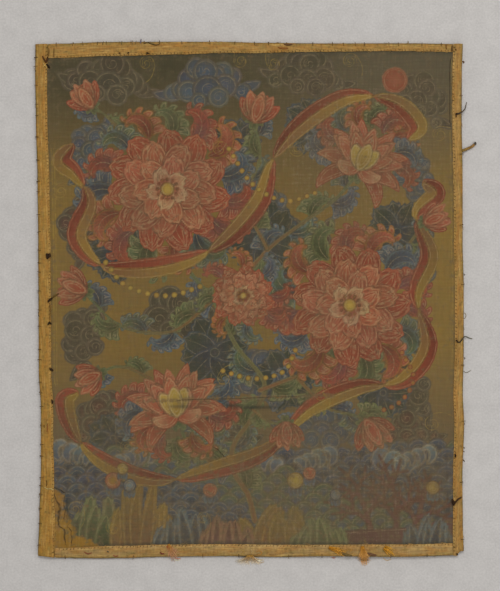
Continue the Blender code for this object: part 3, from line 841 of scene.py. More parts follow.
def ageing(x, y):
    """How far the paint is rubbed through, how thick the dust lies and how flecked it is, each from 0 to 1.

    Rubbed are the bare margin, the crease, a rim beside the tape and the lowest part. Dusty and flecked are
    two broad patches, at the upper right and low down.
    """
    side = along(MARGIN, y) + 0.8 * np.sin(0.9 * y)
    margin = smooth((side - x) / 7 + 0.4) * smooth((-157.4 - 0.4 * (x + 167) - y) / 1.8)
    bent = np.exp(-((y - crease(x)) / 2.2) ** 2) * smooth((98 - np.abs(x + 10)) / 24)
    rim = smooth(1 - past_tape(x, y) / 6)
    rubbed = np.maximum.reduce([margin, 0.55 * bent, 0.3 * rim, 0.2 * smooth((-70 - y) / 60)])
    right_patch = np.exp(-((x - 88) / 62) ** 2 - ((y - 118) / 58) ** 2)
    low_patch = np.exp(-((x - 70) / 90) ** 2 - ((y + 168) / 44) ** 2)
    dust = 0.14 * smooth((-60 - y) / 90) + 0.2 * right_patch + 0.16 * low_patch - 0.6 * margin
    flecks = np.clip(right_patch + 0.7 * low_patch + 0.4 * margin + 0.15, 0, 1)
    return np.stack([rubbed, dust, flecks], -1)


def soil(x, y):
    """How dark each point is, 0 to 1: stains, with painted shade below the crease and beside the top and
    bottom tapes.
    """
    seam = np.minimum(top(x) - y - along(TOP_TAPE, x), y - bottom(x) - along(BOTTOM_TAPE, x))
    # Painted shade, with some stain, in a patchy band about 3 mm wide beside the top and bottom tapes, fading
    # out at the far left.
    total = 0.5 * smooth(1.1 - seam / 3.0) * smooth((x + 150) / 30)
    for patch_x, patch_y, long, high, strength in DARK_PATCHES:
        reach = ((x - patch_x) / long) ** 2 + ((y - patch_y) / high) ** 2
        total = total + strength * np.exp(-reach ** 1.5)
    return np.clip(total * (0.6 + 0.8 * ripple(x, 3 * y, 21)), 0, 1)


def paint_back_coat(coat):
    """Two discs in the sky, clouds, broad leaves, water, the branching plant, the red ground and rocks."""
    coat.disc(-150, 186, 10, "cloud", echo=(2.0,))
    for row in CLOUDS:
        paint_cloud(coat, *row)
    for x, y, radius, facing in PADS:
        paint_pad(coat, x, y, radius, facing)
    coat.disc(122, 186, 11, "disc_red", echo=(2.2,))
    paint_water(coat)
    for row in TWIGS:
        paint_branch(coat, *row, TWIG_RADIUS, "coral_branch")
    coat.paint([(34, -206), (80, -202), (130, -201), (168, -197)], [5, 8, 9, 13], "red_ground",
               echo=(2.0,), ruffle=1.0)
    for row in ROCKS:
        paint_rock(coat, *row)


def paint_middle_coat(coat):
    """Stems with their leaves, whirls of leaves round the flowers, and ribbons."""
    for route, first, last, long, count in STEMS:
        points = curve(route, STEM_POINTS)
        headings = headings_along(points)
        for k, step in enumerate(np.linspace(8, STEM_POINTS - 8, count).astype(int)):
            side = 1 if k % 2 else -1
            paint_leaf(coat, *points[step], headings[step] + 50 * side, long, -120 * side,
                       ("leaf_green", "leaf_blue", "leaf_dark")[k % 3])
        coat.paint(points, np.linspace(first, last, STEM_POINTS), "stem", rim=1.0)
    for x, y, radius, first, last, count, long, turn in WHIRLS:
        for k in (*range(0, count, 2), *range(1, count, 2)):
            angle = first + (last - first) * k / (count - 1)
            base = np.radians(angle)
            paint_leaf(coat, x + radius * np.cos(base), y + radius * np.sin(base), angle - 20 * turn,
                       long * coat.chance.uniform(0.85, 1.08), 150 * turn, LEAF_LOOKS[k % len(LEAF_LOOKS)])
    for route, half_width, folds in RIBBONS:
        paint_ribbon(coat, curve(route, folds * RIBBON_POINTS + 1), half_width, folds)


def paint_front_coat(coat):
    """Flowers, jewels and strings of beads."""
    for row in FLOWERS:
        paint_flower(coat, *row)
    for x, y, radius, look in JEWELS:
        for turn in (240, 300, 270):
            coat.petal(x, y, turn, radius * 2.1, radius * 0.9, (270 - turn) * 1.2, "leaf_blue", tip=1.0)
        coat.disc(x, y, radius, look, echo=(1.4, 3.2))
    for route, radius, pitch, look in GARLANDS:
        points = curve(route, 200)
        gone = np.r_[0, np.cumsum(np.hypot(*np.diff(points, axis=0).T))]
        for place in np.arange(0, gone[-1], pitch):
            x, y = (np.interp(place, gone, axis) for axis in points.T)
            coat.disc(x, y, radius, look, rim=1.0)


def paint_line_coat(coat):
    """Tendrils and fine lines beside the side tapes, then what age has drawn in dark: the crease, cracks and
    a scratch.
    """
    for x, y, wide, heading in TENDRILS:
        turn = np.radians(heading)
        coat.line(spiral(x, y, (wide, 1.0), (heading, heading + 560), 40))
        coat.line(bend(x + wide * np.cos(turn), y + wide * np.sin(turn), heading - 90, wide * 2.6, -60))
    for side, inset, low, high, steps, field in TAPE_SIDE_LINES:
        y = np.linspace(low, high, steps)
        if side == "left":
            x = left(y) + along(LEFT_TAPE, y) + inset
        else:
            x = right(y) - along(RIGHT_TAPE, y) - inset
        coat.line(np.stack([x, y], 1), field)
    x = np.linspace(-61, 39, 30)
    coat.line(np.stack([x, crease(x)], 1), "dark", 0.55)
    for width, crack in CRACKS:
        coat.line(curve(crack, 5 * len(crack)), "dark", width)
    coat.line(curve(SCRATCH, 10), "dark")


# ------------------------------------------------------------------ materials
def add_node(tree, kind, inputs=(), out=0, **settings):
    """Adds a node with its settings, links or sets its inputs, and returns an output.

    The inputs are numbers, colours or other nodes' outputs, in the sockets' order or in a dict by name or
    number.
    """
    made = tree.nodes.new("ShaderNode" + kind)
    for key, value in settings.items():
        setattr(made, key, value)
    for key, value in inputs.items() if isinstance(inputs, dict) else enumerate(inputs):
        socket = made.inputs[key]
        if isinstance(value, bpy.types.NodeSocket):
            tree.links.new(value, socket)
        elif socket.type == "RGBA":
            socket.default_value = (*value, 1.0)
        else:
            socket.default_value = value
    return made.outputs[out] if made.outputs else made


def new_material(name):
    """An empty node material, and add(kind, inputs, ...), which adds nodes to it."""
    made = bpy.data.materials.new(name)
    made.use_nodes = True
    made.node_tree.nodes.clear()
    return made, partial(add_node, made.node_tree)


def finish_material(add, **sockets):
    """The Principled shader of a cloth or thread, with its constants on its own sockets."""
    shader = add("BsdfPrincipled", {key.replace("_", " "): value for key, value in sockets.items()})
    add("OutputMaterial", [shader])


def per(millimetres):
    """A noise's Scale on Object coordinates, for features of this size."""
    return 1 / (millimetres * MM)


# How each coat is drawn: waver of its outlines in mm, softness of its edges in mm, and strengths of its ink
# outlines, its light lines and its dark lines.
COATS = [
    ("back", 2.6, 0.8, 0.40, 0.22, 0.26),
    ("middle", 1.6, 0.4, 0.56, 0.32, 0.34),
    ("front", 1.2, 0.4, 0.54, 0.35, 0.36),
]
FINE_LINE = 0.12  # a line is full up to this distance from its middle, in mm
COLOUR_MIX = {"out": 2, "data_type": "RGBA"}  # what a Mix node of two colours needs


def painted_cotton():
    """Distemper on sized cotton: matte, dusty and rubbed, with the weft showing as faint level streaks."""
    made, add = new_material("Distemper on sized cotton")
    place = add("TexCoord", out="Object")
    base = add("Attribute", out="Vector", attribute_name="ground_colour")

    def lined(under, distance, name, amount, strength, reach=0.62):
        """Draws fine lines in a colour where a signed distance is near zero, as strongly as strength says."""
        away = add("Math", [distance], operation="ABSOLUTE")
        near = add("MapRange", [away, FINE_LINE, reach, amount, 0.0], interpolation_type="SMOOTHSTEP")
        near = add("Math", [near, strength], operation="MULTIPLY")
        return add("Mix", {0: near, 6: under, 7: colour(name)}, **COLOUR_MIX)

    # A painter's hand: outlines waver a little and their ink thins and thickens.
    waver = add("TexNoise", {"Vector": place, "Scale": per(6.0), "Detail": 3.0})
    waver = add("Math", [waver, 0.5], operation="SUBTRACT")
    pressure = add("TexNoise", {"Vector": place, "Scale": per(3.4), "Detail": 3.0})
    pressure = add("MapRange", [pressure, 0.36, 0.6, 0.15, 1.0])
    for name, sway, soft, ink, light, dark in COATS:
        shape, paint, lines = (add("Attribute", out="Vector", attribute_name=name + part)
                               for part in ("_shape", "_colour", "_lines"))
        cover, edge, other_edge = add("SeparateXYZ", [shape]).node.outputs
        light_line, dark_line, _ = add("SeparateXYZ", [lines]).node.outputs
        cover = add("Math", [waver, sway, cover], operation="MULTIPLY_ADD")
        mask = add("MapRange", [cover, -soft, soft, 0.0, 1.0], interpolation_type="SMOOTHSTEP")
        away = add("Math", [cover], operation="ABSOLUTE")
        for distance in (edge, other_edge):
            distance = add("Math", [distance], operation="ABSOLUTE")
            away = add("Math", [away, distance], operation="MINIMUM")
        paint = lined(paint, away, "ink", ink, pressure, 0.8)
        within = add("MapRange", [away, 0.5, 1.1, 0.0, 1.0])
        within = add("Math", [within, pressure], operation="MULTIPLY")
        paint = lined(paint, light_line, "cream", light, within)
        paint = lined(paint, dark_line, "ink", dark, within)
        base = add("Mix", {0: mask, 6: base, 7: paint}, **COLOUR_MIX)
    lines = add("Attribute", out="Vector", attribute_name="lines_lines")
    light_line, dark_line, _ = add("SeparateXYZ", [lines]).node.outputs
    base = lined(base, light_line, "yellow_light", 0.4, pressure)

    # Threads of the cotton, 18 to 24 mm long and drawn 1.7 mm apart, as their own 0.5 mm is too fine to show.
    pitch = 1 / sizes().weft_pitch
    weft = add("Mapping", {"Vector": place, "Scale": (per(24.0), pitch, 1.0)})
    warp = add("Mapping", {"Vector": place, "Scale": (pitch, per(18.0), 1.0)})
    weft, warp = (add("TexNoise", {"Vector": way, "Scale": 1.0, "Detail": 3.0, "Roughness": 0.6})
                  for way in (weft, warp))
    streaks = add("Math", [weft, warp], operation="ADD")

    # Age: bare spots where the paint is rubbed through, broad patches of dust and pale flecks on the threads,
    # and stains, with painted shade below the crease and beside the top and bottom tapes.
    ageing_amounts = add("Attribute", out="Vector", attribute_name="ageing")
    rubbed, dust, flecks = add("SeparateXYZ", [ageing_amounts]).node.outputs
    spots = add("TexNoise", {"Vector": place, "Scale": per(5.0), "Detail": 6.0, "Roughness": 0.68})
    spots = add("Math", [rubbed, 0.38, spots], operation="MULTIPLY_ADD")
    bare = add("MapRange", [spots, 0.70, 0.90, 0.0, 1.0])
    bare = add("Mix", {0: bare, 6: colour("worn"), 7: colour("bare")}, **COLOUR_MIX)
    thin = add("MapRange", [spots, 0.56, 0.76, 0.0, 0.84])
    base = add("Mix", {0: thin, 6: base, 7: bare}, **COLOUR_MIX)
    patches = add("TexNoise", {"Vector": place, "Scale": per(42.0), "Detail": 5.0, "Roughness": 0.62})
    veil = add("MapRange", [patches, 0.32, 0.7, 0.14, 0.46])
    veil = add("Math", [veil, dust], operation="ADD")
    base = add("Mix", {0: veil, 6: base, 7: colour("dust")}, **COLOUR_MIX)
    # Stains, with painted shade below the crease and beside the top and bottom tapes.
    stained_and_shaded = add("Attribute", out="Fac", attribute_name="soil")
    base = add("Mix", {0: stained_and_shaded, 6: base, 7: colour("soil")}, **COLOUR_MIX)
    chips = add("TexNoise", {"Vector": place, "Scale": per(2.6), "Detail": 5.0, "Roughness": 0.75})
    chips = add("Math", [streaks, 0.5, chips], operation="MULTIPLY_ADD")
    chips = add("MapRange", [chips, 1.06, 1.3, 0.0, 0.5])
    chips = add("Math", [chips, flecks], operation="MULTIPLY")
    base = add("Mix", {0: chips, 6: base, 7: colour("bloom")}, **COLOUR_MIX)
    crack_ink = add("MapRange", [pressure, 0.15, 1.0, 0.6, 1.0])
    base = lined(base, dark_line, "ink", 0.8, crack_ink, 0.8)

    # Mottling a few mm wide, and the threads' own light and dark.
    mottle = add("TexNoise", {"Vector": place, "Scale": per(3.2), "Detail": 4.0, "Roughness": 0.7},
                 out="Color")
    mottle = add("Mix", {0: 0.10, 6: (0.5, 0.5, 0.5), 7: mottle}, **COLOUR_MIX)
    base = add("Mix", {0: 1.0, 6: base, 7: mottle}, blend_type="MULTIPLY", **COLOUR_MIX)
    gain = add("MapRange", [streaks, 0.6, 1.4, 1.76, 2.24])
    base = add("VectorMath", {0: base, "Scale": gain}, operation="SCALE")
    grain = add("TexNoise", {"Vector": place, "Scale": per(0.9), "Detail": 2.0})
    height = add("Math", [grain, weft], operation="ADD")
    bump = add("Bump", {"Strength": 0.2, "Distance": 0.12 * MM, "Height": height})
    finish_material(add, Base_Color=base, Roughness=0.88, Specular_IOR_Level=0.16, Normal=bump)
    return made


def bare_cotton():
    """The cotton's back: undyed plain weave, browned by age and by the paint's size soaking through."""
    made, add = new_material("Aged plain cotton")
    place = add("TexCoord", out="Object")
    stain = add("TexNoise", {"Vector": place, "Scale": per(45.0), "Detail": 6.0, "Roughness": 0.6})
    shade = add("MapRange", [stain, 0.35, 0.65])
    base = add("Mix", {0: shade, 6: linear("#7a6644"), 7: linear("#9b8660")}, **COLOUR_MIX)
    # Threads, drawn 1 mm apart as their own 0.5 mm is too fine to show: a wave repeats every pi / (10 Scale).
    threads = [add("TexWave", {"Vector": place, "Scale": np.pi / (10 * 1.0 * MM), "Distortion": 1.5},
                   bands_direction=axis) for axis in "YX"]
    weave = add("Math", threads, operation="MAXIMUM")
    bump = add("Bump", {"Strength": 0.4, "Distance": 0.2 * MM, "Height": weave})
    finish_material(add, Base_Color=base, Roughness=0.9, Specular_IOR_Level=0.2, Normal=bump)
    return made


# What shows on the tape: its colour, its length along and width across the tape in mm, where it starts and is
# full in the noise, and its strength.
TAPE_MARKS = [
    ("#925f18", (16.0, 5.0), 0.42, 0.62, 0.55),  # warm brown stains
    ("#6f6228", (7.0, 3.0), 0.50, 0.68, 0.50),  # olive spots
    ("#bc9a58", (16.0, 1.4), 0.50, 0.70, 0.50),  # rubbed, paler threads along the tape
    ("#46340f", (3.4, 1.6), 0.56, 0.74, 0.70),  # dirt
]
# The tape's warp and weft: length along and width across it in mm, drawn at 1.1 to 1.6 mm because their own
# 0.3 mm is too fine to show.
TAPE_THREADS = [(14.0, 1.1), (1.6, 5.0)]
# Each strip's patterns are taken from another depth of the noise, PATTERN_SHIFT apart, in which the noise's
# features are PATTERN_DEPTH deep.
PATTERN_SHIFT = 31.0
PATTERN_DEPTH = 9.0


def silk_tape():
    """Plain-woven ochre silk: a low sheen, threads along and across the tape, stains, dirt and rubbing."""
    made, add = new_material("Ochre silk tape")
    place = add("Attribute", out="Vector", attribute_name="weave_place")
    base = add("Attribute", out="Vector", attribute_name="tape_colour")

    def woven(long, wide):
        """Streaks of this length and width, in mm, that follow the tape."""
        way = add("Mapping", {"Vector": place, "Scale": (1 / long, 1 / wide, 1 / PATTERN_DEPTH)})
        return add("TexNoise", {"Vector": way, "Scale": 1.0, "Detail": 4.0, "Roughness": 0.65})

    for code, size_mm, start, full, strength in TAPE_MARKS:
        amount = add("MapRange", [woven(*size_mm), start, full, 0.0, strength])
        base = add("Mix", {0: amount, 6: base, 7: linear(code)}, **COLOUR_MIX)
    threads = add("Math", [woven(*size_mm) for size_mm in TAPE_THREADS], operation="ADD")
    gain = add("MapRange", [threads, 0.7, 1.3, 0.70, 1.32])
    base = add("VectorMath", {0: base, "Scale": gain}, operation="SCALE")
    bump = add("Bump", {"Strength": 0.5, "Distance": 0.18 * MM, "Height": threads})
    finish_material(add, Base_Color=base, Roughness=0.62, Specular_IOR_Level=0.25, Sheen_Weight=0.03,
                    Sheen_Roughness=0.5, Normal=bump)
    return made


def fibre(name, roughness, sheen):
    """Thread or floss whose colour runs along each strand: dyed unevenly, with a soft sheen."""
    made, add = new_material(name)
    base = add("Attribute", out="Vector", attribute_name="tint")
    place = add("TexCoord", out="Object")
    dye = add("TexNoise", {"Vector": place, "Scale": per(1.4), "Detail": 2.0})
    gain = add("MapRange", [dye, 0.3, 0.7, 0.75, 1.25])
    base = add("VectorMath", {0: base, "Scale": gain}, operation="SCALE")
    finish_material(add, Base_Color=base, Roughness=roughness, Specular_IOR_Level=0.15, Sheen_Weight=sheen,
                    Sheen_Roughness=0.4)
    return made


def paper():
    """Pale grey uncoated paper: matte, with a faint cloudiness, a fine tooth and a few darker fibres."""
    made, add = new_material("Pale grey paper")
    place = add("TexCoord", out="Object")
    cloud = add("TexNoise", {"Vector": place, "Scale": per(14.0), "Detail": 4.0})
    tooth = add("TexNoise", {"Vector": place, "Scale": per(1.6), "Detail": 2.0})
    both = add("Math", [tooth, 1.6, cloud], operation="MULTIPLY_ADD")
    gain = add("MapRange", [both, 0.9, 1.7, 0.91, 1.09])
    base = add("VectorMath", {0: colour("paper"), "Scale": gain}, operation="SCALE")
    fleck = add("TexNoise", {"Vector": place, "Scale": per(2.4), "Detail": 3.0})
    fleck = add("MapRange", [fleck, 0.7, 0.78, 0.0, 0.35])
    base = add("Mix", {0: fleck, 6: base, 7: linear("#8c857c")}, **COLOUR_MIX)
    bump = add("Bump", {"Strength": 0.2, "Distance": 0.1 * MM, "Height": tooth})
    finish_material(add, Base_Color=base, Roughness=0.92, Specular_IOR_Level=0.2, Normal=bump)
    return made


# ------------------------------------------------------------------ the painted cloth
MARGIN_CELLS = 4  # cells hidden under the tape on each side
BACK_STEP = 4  # the back's cells are this many times larger
TAPE_DEPTH = 9.0  # about how wide the hidden margin is, in mm


def shares(length, cell):
    """Places of grid lines, from 0 to 1: fine and even where the paint shows, and coarse under the tape."""
    hidden = TAPE_DEPTH / length
    fine = int(round((length - 2 * TAPE_DEPTH) / cell / BACK_STEP)) * BACK_STEP
    ends = np.linspace(0, hidden, MARGIN_CELLS + 1)
    return np.r_[ends[:-1], np.linspace(hidden, 1 - hidden, fine + 1), 1 - ends[:-1][::-1]]


def cloth_place(u, v):
    """Points at shares u and v across and up the cloth, whose edges lie inside the tape's fold."""
    x = y = np.zeros(np.broadcast(u, v).shape)
    for _ in range(ROUNDS):
        x0, x1 = left(y) + EDGE_INSET, right(y) - EDGE_INSET
        low = np.maximum(bottom(x) + EDGE_INSET, np.interp(x, *(np.array(BITE).T + [[-GAP], [GAP]])))
        x, y = x0 + u * (x1 - x0), low + v * (top(x) - EDGE_INSET - low)
    return x, y


def seam_turn(place):
    """An angle that goes once round from one stitch to the next, at places along a seam."""
    return 2 * np.pi * place / (sizes().stitch_pitch / MM)


def cloth_relief(x, y):
    """Fine unevenness over the folds: slow swells, puckers between the stitches, cracks low at the left."""
    relief = 0.25 * ripple(x, y, 46) + 0.07 * ripple(x, y, 11)
    beside_a_side = np.abs(x) / PANEL_WIDTH > np.abs(y) / PANEL_HEIGHT
    pucker = 0.5 + 0.5 * np.cos(seam_turn(np.where(beside_a_side, y, x)))
    relief = relief + 0.16 * pucker * smooth(1 - np.abs(past_tape(x, y) - 1.0) / 3.5)
    worn = smooth((-128 - y) / 24) * smooth((-150 - x) / 8)
    cracks = np.abs(np.sin(0.9 * x + 0.9 * np.sin(0.16 * y) + 0.5 * np.sin(0.45 * y)))
    return relief + 0.3 * worn * smooth(cracks * 2.2)


def rim_faces(rows, columns, back_columns):
    """Faces that close the sheet's rim, one for each of the back's coarse cells, with the front's points."""
    rims = [
        [(0, k) for k in range(columns)],
        [(k, columns - 1) for k in range(rows)],
        [(rows - 1, k) for k in range(columns - 1, -1, -1)],
        [(k, 0) for k in range(rows - 1, -1, -1)],
    ]
    first_back = rows * columns
    faces = []
    for rim in rims:
        for k in range(0, len(rim) - 1, BACK_STEP):
            run = rim[k:k + BACK_STEP + 1]
            fine = [i * columns + j for i, j in run]
            coarse = [first_back + i // BACK_STEP * back_columns + j // BACK_STEP
                      for i, j in (run[0], run[-1])]
            faces.append(coarse + fine[::-1])
    return faces


def painted_fields(x, y):
    """Every attribute that the painted cotton reads, with a row for each point."""
    fields = {}
    painters = {"back": paint_back_coat, "middle": paint_middle_coat, "front": paint_front_coat,
                "lines": paint_line_coat}
    for seed, (name, paint) in enumerate(painters.items()):
        coat = Coat(x, y, seed)
        paint(coat)
        fields.update(coat.attributes(name))
    fields["ground_colour"] = ground_colour(x, y).reshape(-1, 3)
    fields["ageing"] = ageing(x, y).reshape(-1, 3)
    fields["soil"] = soil(x, y).ravel()
    return fields


class SCROLL_OT_cloth(bpy.types.Operator):
    """Make the painted cotton panel, a thin sheet on its solid's folds"""
    bl_idname = "scroll.cloth"
    bl_label = "Painted cloth"

    def execute(self, context):
        cell = sizes().cell / MM
        u, v = (shares(length - 2 * EDGE_INSET, cell) for length in (PANEL_WIDTH, PANEL_HEIGHT))
        x, y = cloth_place(u[None, :], v[:, None])
        rows, columns = x.shape
        under = cloth_height(x, y) + cloth_relief(x, y)
        front = np.stack([x, y, under + sizes().cloth_thickness / MM], -1)
        back = np.stack([x, y, under], -1)[::BACK_STEP, ::BACK_STEP]

        faces = grid_faces(rows, columns)
        painted = len(faces)
        faces += [quad[::-1] for quad in grid_faces(*back.shape[:2], rows * columns)]
        faces += rim_faces(rows, columns, back.shape[1])
        face_materials = np.r_[np.zeros(painted), np.ones(len(faces) - painted)]

        points = np.vstack([front.reshape(-1, 3), back.reshape(-1, 3)])
        unpainted = len(points) - rows * columns
        fields = {key: np.concatenate([values, np.zeros((unpainted, *values.shape[1:]))])
                  for key, values in painted_fields(x, y).items()}
        piece = put_mesh("painted_panel", points, faces, [painted_cotton(), bare_cotton()], face_materials,
                         **fields)
        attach(piece, "root")
        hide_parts("painted_cloth")
        return {"FINISHED"}


# ------------------------------------------------------------------ the tape
FLAP_STEPS = 10  # points across a flap, with the one where its fold starts
FOLD_STEPS = 8  # steps round the fold
STATION_PITCH = 1.15  # spacing of the points along a strip, in mm
FOLDED_DOWN = 0.85  # how far the front flap's sewn edge is drawn down to the cloth, in mm
SEAM_RUN = 2.6  # the flap comes down to its sewn edge within this, in mm
END_LENGTH = 341.0  # of the top and bottom strips, which butt between the side strips


def side_place(edge, inwards):
    """Gives place(t, reach) for a side strip, which runs the panel's full height."""
    def place(t, reach):
        x = y = np.zeros(np.broadcast(t, reach).shape)
        for _ in range(ROUNDS):
            x = edge(y) + inwards * reach
            low = np.maximum(bottom(x), np.interp(x, *np.array(BITE).T))
            y = low + t * (top(x) - low)
        return x, y
    return place


def end_place(edge, inwards):
    """Gives place(t, reach) for a top or bottom strip, which butts between the side strips."""
    def place(t, reach):
        x = y = np.zeros(np.broadcast(t, reach).shape)
        for _ in range(ROUNDS):
            y = edge(x) + inwards * reach
            start = left(y) + along(LEFT_TAPE, y) + GAP
            end = right(y) - along(RIGHT_TAPE, y) - GAP
            x = start + t * (end - start)
        return x, edge(x) + inwards * reach
    return place


# The four strips. The front flap's width is read from its table by x (axis 0) or y (axis 1), and a mirrored
# strip's faces are turned over. flat_width is the tape's own width, in metres. The pair after flat_width is
# painted shade with some dirt: how dark the fold is at least, and how much darker in places. faded is how
# pale the sewn edge is. worn_stitches is how far the stitches have worn pale, from which place and over what
# run: a negative run wears them before it. overcast is the nearest and farthest spacing of the loops that are
# left over the fold.
Strip = namedtuple("Strip", "name place mirrored table axis length flat_width grime faded worn_stitches "
                            "overcast")
STRIPS = [
    Strip("left", side_place(left, 1), False, LEFT_TAPE, 1, PANEL_HEIGHT, 0.0255, (0.35, 0.4), 0.25,
          (0.45, -1, 1), (7, 20)),
    Strip("right", side_place(right, -1), True, RIGHT_TAPE, 1, PANEL_HEIGHT, 0.0190, (0.35, 0.4), 0.45,
          (0.95, 90, -40), (25, 70)),
    Strip("top", end_place(top, -1), True, TOP_TAPE, 0, END_LENGTH, 0.0215, (0.35, 0.4), 0.45,
          (0.0, 0, 1), (7, 24)),
    Strip("bottom", end_place(bottom, 1), False, BOTTOM_TAPE, 0, END_LENGTH, 0.0225, (0.22, 0.3), 0.45,
          (0.95, 220, 50), (22, 60)),
]


def strip_edge(strip, t):
    """Places along the panel's edge at shares t of a strip, and the front flap's width there."""
    start = np.array(strip.place(t, 0.0))[strip.axis]
    return start, along(strip.table, start)


def tape_section(front, place, thick):
    """Distance in from the outer face, and height, of points round the folded tape's section.

    Over the front flap, round the fold and under the hidden flap, then back along the inner side: the fold is
    half an ellipse, and the front flap's last few mm curve down to the cloth, further at each stitch.
    """
    back = front * BACK_FLAP_SHARE
    stations = np.ones_like(front)
    turn = np.linspace(0, np.pi, FOLD_STEPS + 1)
    t = np.linspace(0, 1, FLAP_STEPS)[:-1] ** 1.3
    flap_in = front - (front - FOLD_ROUND) * t
    hidden_in = FOLD_ROUND + (back - FOLD_ROUND) * (1 - t[::-1])
    sides = []
    for offset in (0.0, thick):
        arc = (FOLD_ROUND - (FOLD_ROUND - offset) * np.sin(turn)) * stations
        high = (STACK / 2 + (STACK / 2 - offset) * np.cos(turn)) * stations
        over = np.full_like(flap_in, STACK - offset)
        beneath = np.full_like(hidden_in, offset)
        reach = np.concatenate([flap_in, arc, hidden_in], -1)
        height = np.concatenate([over, high, beneath], -1)
        sides.append((reach, height))
    pucker = 0.5 - 0.5 * np.cos(seam_turn(place))
    for reach, height in sides:
        sewn = smooth(1 - (front - reach) / SEAM_RUN) * (height > STACK / 2)
        height -= sewn * (FOLDED_DOWN - 0.22 * pucker)
    return sides


def strip_surface(strip, index):
    """A strip's points, a row for each section of it, with their places in the weave and the flap's widths.

    A place in the weave is the place along the edge, the distance in from the fold's outer face, and a shift
    that gives each strip its own pattern.
    """
    t = np.linspace(0, 1, int(strip.length / STATION_PITCH))[:, None]
    start, front = strip_edge(strip, t)
    # The cut edge of the flap isn't quite straight.
    front = front + 0.35 * (ripple(start, 40.0 * index, 9) - 0.5)
    front = front + 0.3 * (ripple(start, 7.0 * index, 3.2) - 0.5)
    outer, inner = tape_section(front, start, sizes().tape_thickness / MM)
    points, weave = [], []
    for reach, height in (outer, [side[:, ::-1] for side in inner]):
        x, y = strip.place(t, reach)
        uneven = 0.18 * (ripple(x, y, 17) - 0.5) * smooth(reach / 3)
        points.append(np.stack([x, y, lift(x, y) + height + np.where(height > 1, uneven, 0)], -1))
        shift = np.full(x.shape, PATTERN_SHIFT * index)
        weave.append(np.stack([np.broadcast_to(start, x.shape), reach, shift], -1))
    return np.concatenate(points, 1), np.concatenate(weave, 1), front


def strip_faces(rows, columns, mirrored):
    """Quads round and along a strip, and across its two ends, where outer and inner points lie in pairs."""
    faces = grid_faces(rows, columns, closed=True)
    for first, step in ((0, -1), ((rows - 1) * columns, 1)):
        for i in range(columns // 2 - 1):
            end = [first + i, first + i + 1, first + columns - 2 - i, first + columns - 1 - i]
            faces.append(end[::step])
    return [face[::-1] for face in faces] if mirrored else faces


def strip_colour(strip, index, weave, front):
    """The silk at each point: painted shade with some dirt on the fold, olive with handling beside it, pale
    at the sewn edge.
    """
    reach = weave[..., 1]
    worn = ripple(weave[..., 0], 13.0 * index, 5)
    # Painted shade, with some dirt: the silk darkens towards the fold's outer face, and is a little lighter
    # on the flat of the flap.
    least, more = strip.grime
    fold_shade_and_dirt = (least + more * worn) * smooth(1 - reach / (1.1 + 0.9 * worn))
    shade = 1 - fold_shade_and_dirt + 0.06 * smooth((reach - 4) / 5)
    faded = strip.faded * smooth((reach - front + 3.0) / 2.6)[..., None]
    soiled = 0.45 * smooth(1 - reach / 3.6)[..., None]
    silk = colour("silk_" + strip.name) * (1 - soiled) + colour("silk_olive") * soiled
    return (silk * (1 - faded) + colour("silk_pale") * faded) * shade[..., None]


class SCROLL_OT_tape(bpy.types.Operator):
    """Make the four strips of folded silk tape"""
    bl_idname = "scroll.tape"
    bl_label = "Tape binding"

    def execute(self, context):
        silk = silk_tape()
        for index, strip in enumerate(STRIPS):
            points, weave, front = strip_surface(strip, index)
            faces = strip_faces(*points.shape[:2], strip.mirrored)
            # The silk's colour, with painted shade on the fold.
            dyed_and_shaded = strip_colour(strip, index, weave, front)
            piece = put_mesh("tape_" + strip.name, points.reshape(-1, 3), faces, [silk],
                             weave_place=weave.reshape(-1, 3), tape_colour=dyed_and_shaded.reshape(-1, 3))
            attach(piece, "root")
            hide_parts("binding_" + strip.name)
        return {"FINISHED"}


# ------------------------------------------------------------------ sewing and threads
STITCH_INSET = 0.9  # from the flap's sewn edge to the middle of a stitch, in mm


class SCROLL_OT_stitches(bpy.types.Operator):
    """Sew the tape's inner edge down with small slanting stitches"""
    bl_idname = "scroll.stitches"
    bl_label = "Hand stitches"

    def execute(self, context):
        chance = np.random.default_rng(7)
        threads = Tubes(4)
        pitch = sizes().stitch_pitch / MM
        usual = sizes().stitch_length / MM
        radius = sizes().stitch_thickness / MM / 2
        steps = np.linspace(-0.5, 0.5, 5)
        for strip in STRIPS:
            worn, worn_from, run = strip.worn_stitches
            for t in np.arange(pitch * 1.5, strip.length - pitch, pitch) / strip.length:
                t = t + chance.uniform(-0.3, 0.3) * pitch / strip.length * 0.5
                at = t * strip.length
                _, flap = strip_edge(strip, t)
                long = usual * chance.uniform(0.6, 1.15)
                lean = chance.uniform(0.1, 0.7) * long / strip.length
                reach = flap - STITCH_INSET + chance.uniform(-0.2, 0.2) + long * 0.8 * steps
                x, y = strip.place(t + lean * steps, reach)
                high = np.where(past_tape(x, y) > 0, cloth_height(x, y) + sizes().cloth_thickness / MM + 0.2,
                                lift(x, y) + STACK - FOLDED_DOWN * smooth(1 + past_tape(x, y) / SEAM_RUN))
                arch = radius * (0.7 - 6 * steps ** 2)
                # Stitches have worn pale in patches, and most where the strip says.
                faint = 0.8 * smooth((ripple(at, 70.0 * len(strip.name), 52) - 0.42) / 0.2)
                faint = max(faint, worn * smooth((at - worn_from) / run))
                dye = colour("stitch") * (1 - faint) + colour("stitch_faded") * faint
                threads.add(np.stack([x, y, high + arch], 1), radius, dye * chance.uniform(0.6, 1.5))
        piece = threads.piece("hand_stitches", fibre("Waxed cotton sewing thread", 0.7, 0.02))
        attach(piece, "root")
        return {"FINISHED"}


STRAND_FALL = 4.5  # a strand comes down from the tape to the surface within this, in mm


def strand_height(x, y):
    """Underside of a strand that leaves the tape's upper face over the bottom edge and comes to rest."""
    past = bottom(x) - y + FOLD_LIP
    return (lift(x, y) + STACK + GAP) * (1 - smooth(past / STRAND_FALL))


